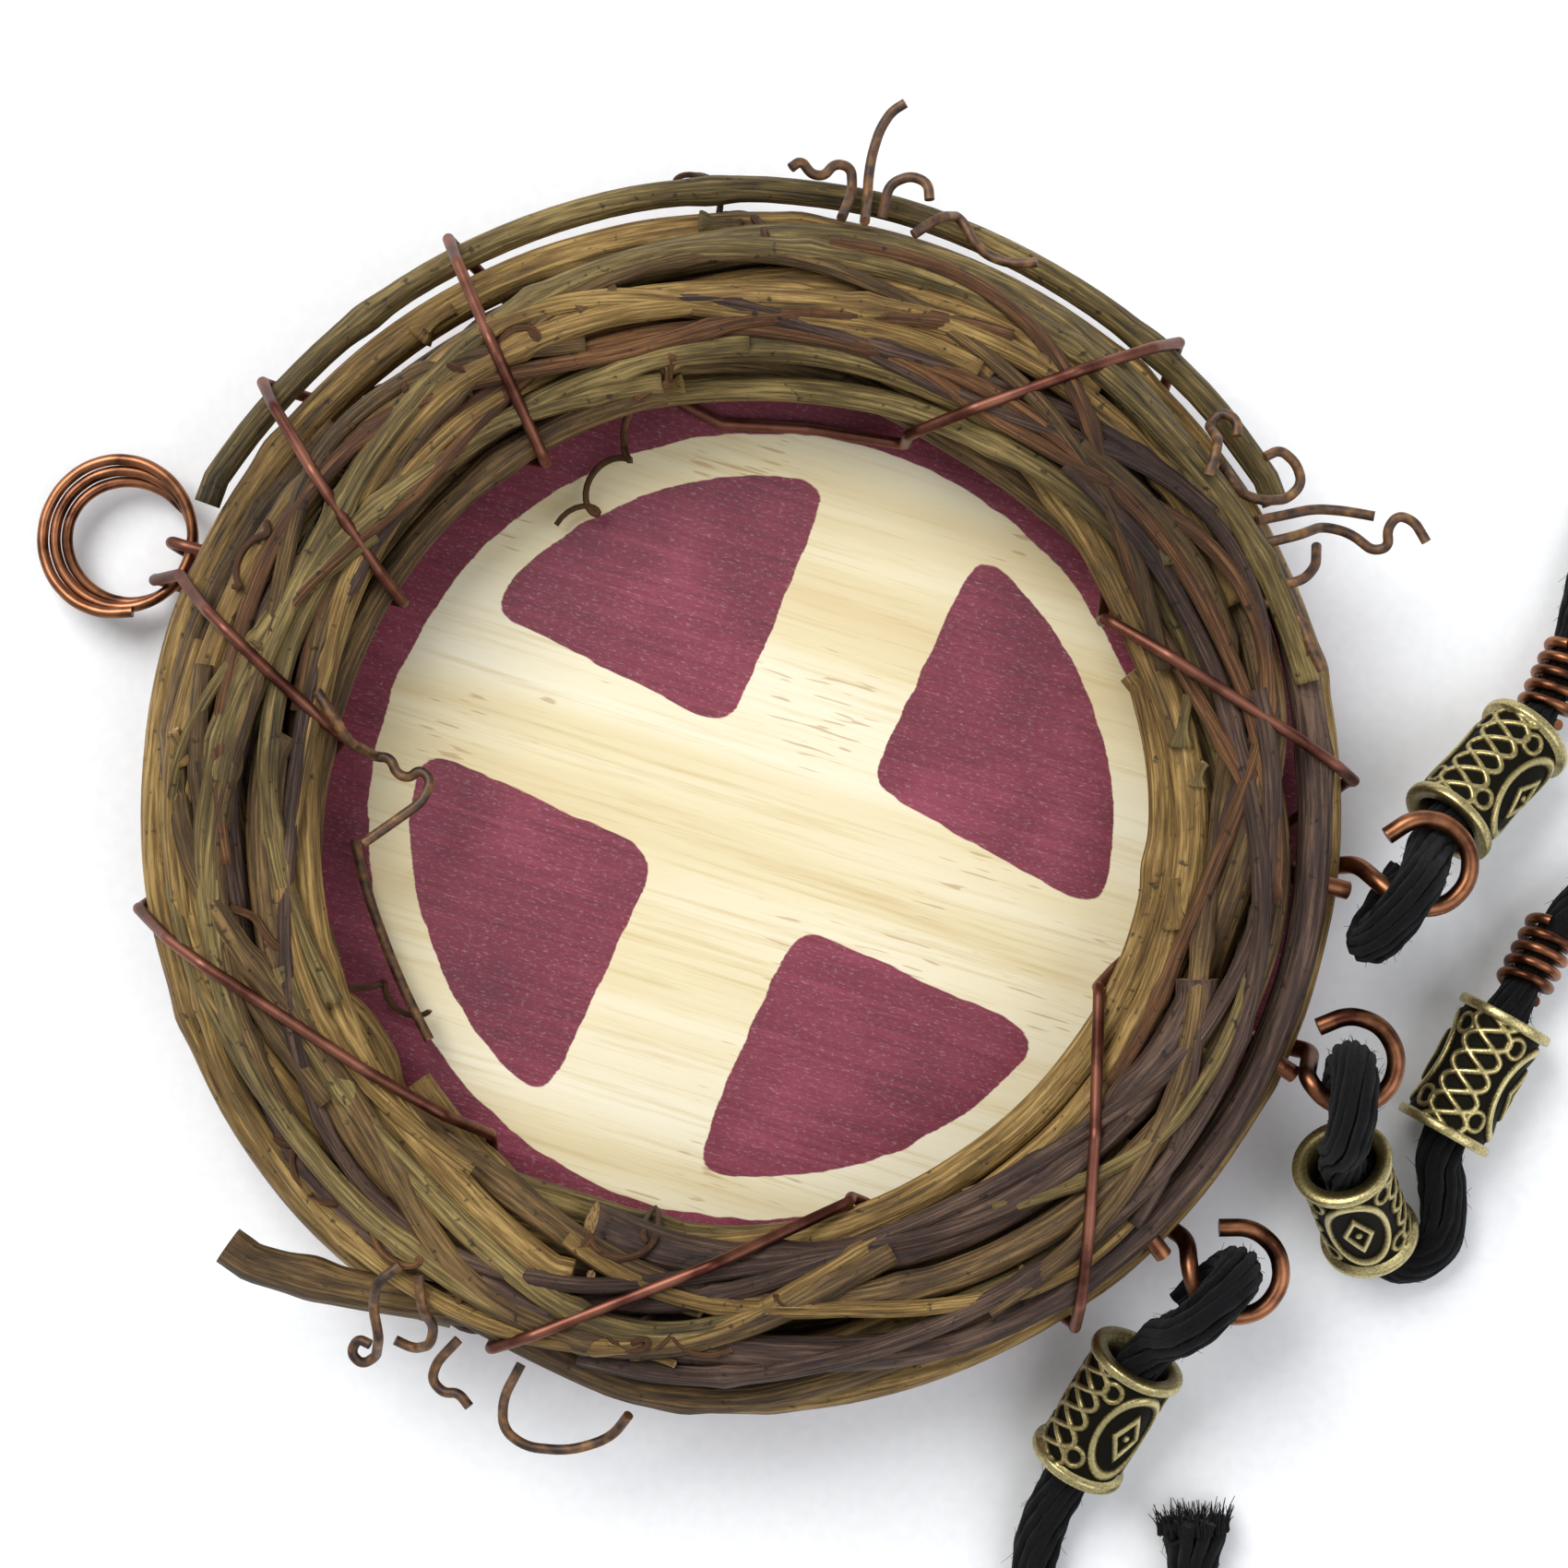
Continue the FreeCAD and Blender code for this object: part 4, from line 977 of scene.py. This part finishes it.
@dataclass
class VineWreath:
    """The wound vines, with bark ridges, joints where leaves grew, and cut ends."""

    step_mm: float = 0.8
    sides: int = 18
    wander_mm: float = 0.12
    joint_gap_mm: tuple[float, float] = (28, 55)
    barks: dict = field(default_factory=dict)
    lines: dict = field(default_factory=dict)

    def centreline(self, node: str) -> tuple[np.ndarray, float]:
        """Finds a vine's middle line and radius from its model solid.

        Args:
            node: the vine's node.

        Returns:
            Points in millimetres and the radius.
        """
        mesh = bpy.data.objects[node].data
        verts = np.empty(len(mesh.vertices) * 3)
        mesh.vertices.foreach_get("co", verts)
        verts = verts.reshape(-1, 3) / MM
        edges = np.empty(len(mesh.edges) * 2, dtype=int)
        mesh.edges.foreach_get("vertices", edges)
        edges = edges.reshape(-1, 2)
        flat = verts[:, :2] - WREATH_CENTRE
        middle = []
        for angle in np.radians(np.arange(0, 360, 2.5)):
            out = np.array([math.cos(angle), math.sin(angle)])
            aside = flat @ np.array([-out[1], out[0]])
            ahead = flat @ out
            a, b = aside[edges[:, 0]], aside[edges[:, 1]]
            cut = (a * b < 0) & (ahead[edges[:, 0]] > 20)
            if cut.sum() < 6:
                continue
            t = (a[cut] / (a[cut] - b[cut]))[:, None]
            hits = verts[edges[cut, 0]] * (1 - t) + verts[edges[cut, 1]] * t
            away = (hits[:, :2] - WREATH_CENTRE) @ out
            radius = (away.max() + away.min()) / 2
            height = (hits[:, 2].max() + hits[:, 2].min()) / 2
            middle.append((math.degrees(angle), radius, height, (hits[:, 2].max() - hits[:, 2].min()) / 2))
        middle = np.array(middle)
        gaps = np.diff(np.r_[middle[:, 0], middle[0, 0] + 360])
        start = (int(np.argmax(gaps)) + 1) % len(middle)
        middle = np.roll(middle, -start, axis=0)
        turn = np.radians(middle[:, 0])
        x = WREATH_CENTRE[0] + middle[:, 1] * np.cos(turn)
        y = WREATH_CENTRE[1] + middle[:, 1] * np.sin(turn)
        return np.stack([x, y, middle[:, 2]], axis=1), float(np.median(middle[:, 3]))

    def build_vine(self, node: str, bark: Bark, seed: int) -> None:
        """Makes one vine over its solid.

        Args:
            node: the vine's node.
            bark: which bark it has.
            seed: the seed of its unevenness.
        """
        rng = np.random.default_rng(seed)
        middle, radius = self.centreline(node)
        self.lines[node] = (middle, radius)
        line = resample(middle, self.step_mm)
        n = len(line)
        for axis in range(3):
            line[:, axis] += self.wander_mm * smooth_noise(n, 14, rng)
        turn = np.linspace(0, 2 * np.pi, self.sides, endpoint=False)
        surface = np.ones((n, self.sides))
        for lobes, depth in ((2, 0.035), (3, 0.03), (5, 0.03), (8, 0.025)):
            phase = rng.uniform(0, 6.3) + 1.6 * smooth_noise(n, 40, rng)
            surface += depth * np.cos(lobes * turn[None, :] + phase[:, None])
        surface *= (0.965 + 0.04 * smooth_noise(n, 30, rng))[:, None]
        at = rng.uniform(8, 25)
        place = np.arange(n) * self.step_mm
        while at < place[-1] - 5:
            swell = np.exp(-(((place - at) / 1.8) ** 2))
            lean = 0.5 + 0.5 * np.cos(turn - rng.uniform(0, 6.3))
            surface += (0.10 + 0.12 * lean)[None, :] * swell[:, None]
            at += rng.uniform(*self.joint_gap_mm)
        tubes = TubeMesh()
        tubes.add_tube(line, radius * surface, self.sides)
        piece = tubes.piece(node + "_bark", [self.barks[bark], self.barks["cut"]])
        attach(piece, WREATH_BODY)
        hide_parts(node)

    def build(self) -> None:
        """Makes every vine."""
        for bark in Bark:
            self.barks[bark] = GrapevineBark(bark).build()
        self.barks["cut"] = CutWood().build()
        looks = {
            "vine_dark": Bark.PURPLE, "vine_04": Bark.PURPLE, "vine_10": Bark.PURPLE,
            "vine_outer": Bark.TAN, "vine_front_long": Bark.TAN, "vine_stub": Bark.BROWN,
        }
        order = [Bark.OLIVE, Bark.BROWN, Bark.TAN]
        vines = sorted(n for n in frame["nodes"] if n.startswith("vine"))
        for k, node in enumerate(vines):
            self.build_vine(node, looks.get(node, order[k % 3]), 100 + k)
        LOG.info("vines: %d", len(vines))


@dataclass
class LooseGrowth:
    """What lies on the wound vines: thin runners, broken side shoots and small dry curls."""

    lines: dict
    barks: dict
    mean_mm: float = 44.4
    middle_mm: float = 13.95
    half_wide_mm: float = 8.9
    half_high_mm: float = 7.8
    runners: int = 26
    shoots: int = 26
    curls: int = 13
    runner_mm: tuple[float, float] = (0.55, 1.2)
    runner_span: tuple[float, float] = (50, 190)
    shoot_mm: tuple[float, float] = (1.6, 4.6)
    curl_mm: tuple[float, float] = (8, 20)
    step_mm: float = 0.8
    base_mm: float = 6.5
    seed: int = 77
    cloud_points: tuple[np.ndarray, np.ndarray] = field(init=False)

    def __post_init__(self) -> None:
        """Reads the ground that the growth lies on."""
        self.cloud_points = self.cloud()

    def cloud(self) -> tuple[np.ndarray, np.ndarray]:
        """Gathers points along every vine.

        Returns:
            The points in millimetres and the vine's radius at each.
        """
        points, radii = [], []
        for middle, radius in self.lines.values():
            line = resample(middle, self.step_mm)
            points.append(line)
            radii.append(np.full(len(line), radius))
        return np.concatenate(points), np.concatenate(radii)

    def top(self, x: np.ndarray, y: np.ndarray) -> np.ndarray:
        """Height of the vines' upper surface.

        Args:
            x: places in millimetres.
            y: places in millimetres.

        Returns:
            Heights in millimetres.
        """
        points, radii = self.cloud_points
        away = np.hypot(x[:, None] - points[None, :, 0], y[:, None] - points[None, :, 1])
        rise = np.sqrt(np.clip(radii[None, :] ** 2 - away**2, 0, None))
        heights = np.where(away < radii[None, :], points[None, :, 2] + rise, self.base_mm)
        return heights.max(axis=1)

    def oval(self, across: np.ndarray) -> np.ndarray:
        """Height of the bundle's rounded outline, which the lacing wire lies on."""
        inside = np.clip(1 - (across / self.half_wide_mm) ** 2, 0, 1)
        return self.middle_mm + self.half_high_mm * np.sqrt(inside)

    def runner(self, rng: np.random.Generator, tubes: TubeMesh) -> None:
        """Adds one thin vine that wanders over the bundle.

        Args:
            rng: the seeded source.
            tubes: the mesh it goes to.
        """
        radius = rng.uniform(*self.runner_mm)
        first = rng.uniform(0, 360)
        span = rng.uniform(*self.runner_span)
        count = int(span / 1.2)
        angle = np.radians(first + np.linspace(0, span, count))
        across = np.interp(np.linspace(0, 1, count), np.linspace(0, 1, 5), rng.uniform(-7.4, 6.8, 5))
        kernel = np.ones(25) / 25
        across = np.convolve(np.pad(across, 12, mode="edge"), kernel, mode="valid")
        across += 0.25 * smooth_noise(count, 12, rng)
        x = WREATH_CENTRE[0] + (self.mean_mm + across) * np.cos(angle)
        y = WREATH_CENTRE[1] + (self.mean_mm + across) * np.sin(angle)
        ground = np.pad(self.top(x, y), 16, mode="edge")
        ground = np.array([ground[k : k + 9].max() for k in range(count + 24)])
        rest = np.convolve(ground, np.ones(25) / 25, mode="valid")[:count] + radius * 0.6
        z = np.minimum(rest, self.oval(across) - radius + 0.6)
        line = resample(np.stack([x, y, z], axis=1), self.step_mm)
        n = len(line)
        turn = np.linspace(0, 2 * np.pi, 12, endpoint=False)
        surface = 1 + 0.06 * np.cos(2 * turn[None, :] + 2 * smooth_noise(n, 30, rng)[:, None])
        surface = surface * (1 + 0.07 * smooth_noise(n, 9, rng))[:, None]
        for at in np.arange(rng.uniform(6, 15), n * 0.8, rng.uniform(22, 34)):
            surface += (0.28 * np.exp(-(((np.arange(n) * 0.8 - at) / 1.0) ** 2)))[:, None]
        tubes.add_tube(line, radius * surface, 12)

    def free_of_hooks(self, angle: float) -> bool:
        """Whether an angle is away from the hooks and the hanging ring."""
        turned = angle % 360
        return not (turned > 290 or turned < 16 or 140 < turned < 172)

    def shoot(self, rng: np.random.Generator, tubes: TubeMesh) -> None:
        """Adds one broken side shoot with its swollen joint.

        Args:
            rng: the seeded source.
            tubes: the mesh it goes to.
        """
        angle = rng.uniform(0, 360)
        reach = 8.0 if self.free_of_hooks(angle) else 3.5
        across = rng.uniform(-7.5, reach)
        at = math.radians(angle)
        out = np.array([math.cos(at), math.sin(at), 0])
        along = np.array([-math.sin(at), math.cos(at), 0]) * rng.choice([-1, 1])
        foot = np.array([*WREATH_CENTRE, 0]) + out * (self.mean_mm + across)
        foot[2] = float(self.top(foot[None, 0], foot[None, 1])[0]) - 0.6
        lean = along + out * rng.uniform(-0.5, 0.5) + np.array([0, 0, rng.uniform(0.05, 0.35)])
        lean /= np.linalg.norm(lean)
        long = rng.uniform(*self.shoot_mm)
        t = np.linspace(0, 1, 9)[:, None]
        bend = rng.normal(0, 0.5, 3) * [1, 1, 0.4]
        line = foot + lean * long * t + bend * t * t
        radius = rng.uniform(0.45, 0.85)
        profile = radius * (0.75 + 1.1 * np.exp(-((t[:, 0] / 0.25) ** 2)))
        turn = np.linspace(0, 2 * np.pi, 9, endpoint=False)
        surface = profile[:, None] * (1 + 0.12 * np.cos(3 * turn[None, :] + rng.uniform(0, 6)))
        tubes.add_tube(line, surface, 9)

    def curl(self, rng: np.random.Generator, tubes: TubeMesh) -> None:
        """Adds one dry curl that winds over the vines.

        Args:
            rng: the seeded source.
            tubes: the mesh it goes to.
        """
        angle = math.radians(rng.uniform(16, 290))
        across = rng.uniform(-5, 5)
        length = rng.uniform(*self.curl_mm)
        t = np.linspace(0, 1, 60)
        heading = angle + math.pi / 2 + rng.uniform(-0.9, 0.9)
        along = np.array([math.cos(heading), math.sin(heading)])
        aside = np.array([-along[1], along[0]])
        turns = rng.uniform(1.5, 3.5)
        size = rng.uniform(0.6, 1.7) * (0.5 + 0.6 * t)
        start = WREATH_CENTRE + (self.mean_mm + across) * np.array([math.cos(angle), math.sin(angle)])
        phase = 2 * np.pi * turns * t**1.3
        flat = start + along * (length * t)[:, None]
        flat += along * (size * np.cos(phase))[:, None] + aside * (size * np.sin(phase))[:, None]
        radius = np.linspace(0.42, 0.26, 60)
        ground = np.pad(self.top(flat[:, 0], flat[:, 1]), 3, mode="edge")
        ground = np.convolve(ground, np.ones(7) / 7, mode="valid")
        rho = np.hypot(flat[:, 0] - WREATH_CENTRE[0], flat[:, 1] - WREATH_CENTRE[1]) - self.mean_mm
        height = np.minimum(ground + 0.3 + 0.5 * (1 + np.sin(phase)) * size * 0.4, self.oval(rho) + 0.7)
        tubes.add_tube(np.stack([flat[:, 0], flat[:, 1], height], axis=1), radius, 7)

    def build(self) -> None:
        """Makes the loose growth."""
        rng = np.random.default_rng(self.seed)
        kinds = list(Bark)
        for name, bark_share, count, make in (
            ("runners", 5, self.runners, self.runner),
            ("shoots", 3, self.shoots, self.shoot),
            ("curls", 1, self.curls, self.curl),
        ):
            batches = [TubeMesh() for _ in range(bark_share)]
            for k in range(count):
                make(rng, batches[k % bark_share])
            for k, tubes in enumerate(batches):
                bark = kinds[k] if bark_share > 1 else Bark.REDDISH
                piece = tubes.piece(f"{name}_{bark.name.lower()}", [self.barks[bark], self.barks["cut"]])
                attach(piece, WREATH_BODY)
        LOG.info("loose growth: %d runners, %d shoots, %d curls", self.runners, self.shoots, self.curls)


@dataclass
class Metalwork:
    """The lacing wire, the hanging ring, the hooks and the coils, which keep their model shapes."""

    def build(self) -> None:
        """Dresses the wires."""
        lacing = AgedCopper("lacing_copper", "#553028", "#8A5B4A", 0.42, 4.0).build()
        copper = AgedCopper("antique_copper", "#482A1E", "#9C6849", 0.30, 3.0).build()
        dress("lacing_wire", lacing)
        for node in ("hanging_ring", "hook_a", "hook_b", "hook_c", "coil_a", "coil_b"):
            dress(node, copper)
        LOG.info("wires dressed")


def dress(node: str, material: Material) -> None:
    """Gives a model node a finish.

    Args:
        node: the node.
        material: the finish.
    """
    thing = bpy.data.objects[node]
    for slot in thing.material_slots:
        slot.material = material
    if not thing.material_slots:
        thing.data.materials.append(material)


@dataclass
class TubeBead:
    """A cast tube bead: rims, an oval on two sides with a lozenge in it, and plaited bands between."""

    length_mm: float = 12.2
    rim_mm: float = 4.5
    barrel_mm: float = 4.12
    floor_mm: float = 3.78
    bore_mm: float = 3.15
    rim_wide_mm: float = 0.85
    oval_mm: tuple[float, float] = (2.9, 4.3)
    lozenge_mm: tuple[float, float] = (1.25, 2.2)
    plait_mm: float = 2.2
    plait_pitch_mm: float = 6.2
    around: int = 200
    along: int = 136

    def stroke(self, distance: np.ndarray, width: float) -> np.ndarray:
        """A rounded raised line.

        Args:
            distance: how far each place is from the line's middle.
            width: the line's half width.

        Returns:
            Heights of 0 to 1.
        """
        return np.sqrt(np.clip(1 - (distance / width) ** 2, 0, 1))

    def relief(self, turn: np.ndarray, height: np.ndarray) -> np.ndarray:
        """The pattern's height over the barrel.

        Args:
            turn: angles round the bead.
            height: places along it, in millimetres.

        Returns:
            Heights of 0 to 1.
        """
        half = self.length_mm / 2
        across = (np.mod(turn + np.pi / 2, np.pi) - np.pi / 2) * self.barrel_mm
        up = height - half
        oval = np.hypot(across / self.oval_mm[0], up / self.oval_mm[1])
        raised = self.stroke((oval - 1) * 3.2, 0.42)
        lozenge = np.abs(across) / self.lozenge_mm[0] + np.abs(up) / self.lozenge_mm[1]
        raised = np.maximum(raised, self.stroke((lozenge - 1) * 1.15, 0.33))
        raised = np.maximum(raised, self.stroke(np.hypot(across, up), 0.42))
        outside = oval > 1.06
        side = (np.mod(turn, np.pi) - np.pi / 2) * self.barrel_mm
        for phase in (0.0, 2 * np.pi / 3, 4 * np.pi / 3):
            wave = up * 2 * np.pi / self.plait_pitch_mm + phase
            line = self.plait_mm * np.sin(wave)
            slope = np.sqrt(1 + (self.plait_mm * 2 * np.pi / self.plait_pitch_mm * np.cos(wave)) ** 2)
            strand = 0.9 * self.stroke((side - line) / slope, 0.34)
            raised = np.where(outside, np.maximum(raised, strand), raised)
        curl = np.abs(np.hypot(np.abs(across) - 3.6, np.abs(up) - 3.7) - 0.9)
        raised = np.where(outside, np.maximum(raised, 0.85 * self.stroke(curl, 0.30)), raised)
        return raised

    def build(
        self, node: str, heading: float, fall: float, mouth: tuple, roll: float, brass: Material
    ) -> None:
        """Makes one bead over its solid.

        Args:
            node: the bead's node, which names its body too.
            heading: its axis's heading on the table.
            fall: how far its axis falls below the level.
            mouth: the middle of its mouth, in millimetres.
            roll: how it is turned about its axis.
            brass: its finish.
        """
        turn = np.linspace(0, 2 * np.pi, self.around, endpoint=False)
        height = np.linspace(0, self.length_mm, self.along)
        grid_turn, grid_height = np.meshgrid(turn, height)
        raised = self.relief(grid_turn + roll, grid_height)
        radius = self.floor_mm + (self.barrel_mm - self.floor_mm) * raised
        edge = np.minimum(grid_height, self.length_mm - grid_height)
        rim = np.clip((self.rim_wide_mm + 0.2 - edge) / 0.2, 0, 1)
        crown = np.sqrt(np.clip(1 - ((edge - self.rim_wide_mm / 2) / (self.rim_wide_mm * 0.62)) ** 2, 0, 1))
        radius = np.where(rim > 0, np.maximum(radius, (self.rim_mm - 0.25) * rim + 0.25 * crown), radius)
        tone = np.where(rim > 0.5, 0.9, raised)
        inner = np.full_like(turn, self.bore_mm)
        rings = [np.stack([r * np.cos(turn), r * np.sin(turn), np.full_like(turn, z)], axis=1)
                 for r, z in zip(radius, height)]
        rings += [np.stack([inner * np.cos(turn), inner * np.sin(turn), np.full_like(turn, z)], axis=1)
                  for z in self.length_mm * np.array([1.0, 0.75, 0.5, 0.25, 0.0])]
        # the bore's tones fall from the mouths to its middle: painted shade inside the tube
        patina_and_bore_shade = np.concatenate([tone.ravel(), np.repeat([0.62, 0.15, 0.05, 0.15, 0.62], self.around)])
        verts = np.concatenate(rings)
        down = math.radians(fall)
        level = math.radians(heading)
        axis = Vector((math.cos(down) * math.cos(level), math.cos(down) * math.sin(level), -math.sin(down)))
        turned = np.array(axis.to_track_quat("Z", "Y").to_matrix())
        verts = (verts @ turned.T + np.array(mouth)) * MM
        count = len(rings)
        faces = []
        for i in range(count):
            a, b = i * self.around, ((i + 1) % count) * self.around
            for k in range(self.around):
                m = (k + 1) % self.around
                faces.append((a + k, a + m, b + m, b + k))
        piece = mesh_piece(node + "_relief", verts, faces, [brass])
        layer = piece.data.attributes.new("relief", "FLOAT", "POINT")
        layer.data.foreach_set("value", patina_and_bore_shade.astype(np.float32))
        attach(piece, node)
        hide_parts(node)


def build_beads() -> None:
    """Makes the four beads where their solids are."""
    brass = AntiqueBrass().build()
    bead = TubeBead()
    bead.build("bead_a", 44.7, 22.0, (60.9, 0.2, 9.0), 0.6, brass)
    bead.build("bead_b_lower", -63.4, 46.0, (51.0, -29.4, 13.4), 1.2, brass)
    bead.build("bead_b_upper", 61.0, 0.0, (61.2, -27.7, 4.6), 0.3, brass)
    bead.build("bead_c", 241.8, 22.0, (33.6, -47.3, 9.0), 2.2, brass)
    LOG.info("beads: 4")


def build_disc() -> None:
    """Dresses the disc and its glue."""
    dress("disc", PaintedPine().build())
    dress("glue_dots", HotGlue().build())
    LOG.info("disc dressed")


def build_tendrils() -> None:
    """Dresses the tendrils."""
    twig = DryTendril().build()
    for node in sorted(n for n in frame["nodes"] if n.startswith("tendril")):
        dress(node, twig)


def main() -> None:
    """Builds the scene in order."""
    logging.basicConfig(level=logging.INFO, format="%(message)s")
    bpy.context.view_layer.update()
    studio = Studio()
    studio.camera()
    build_beads()
    YarnCords().build()
    studio.build()
    build_disc()
    wreath = VineWreath()
    wreath.build()
    LooseGrowth(wreath.lines, wreath.barks).build()
    Metalwork().build()
    build_tendrils()


if __name__ == "__main__":
    main()
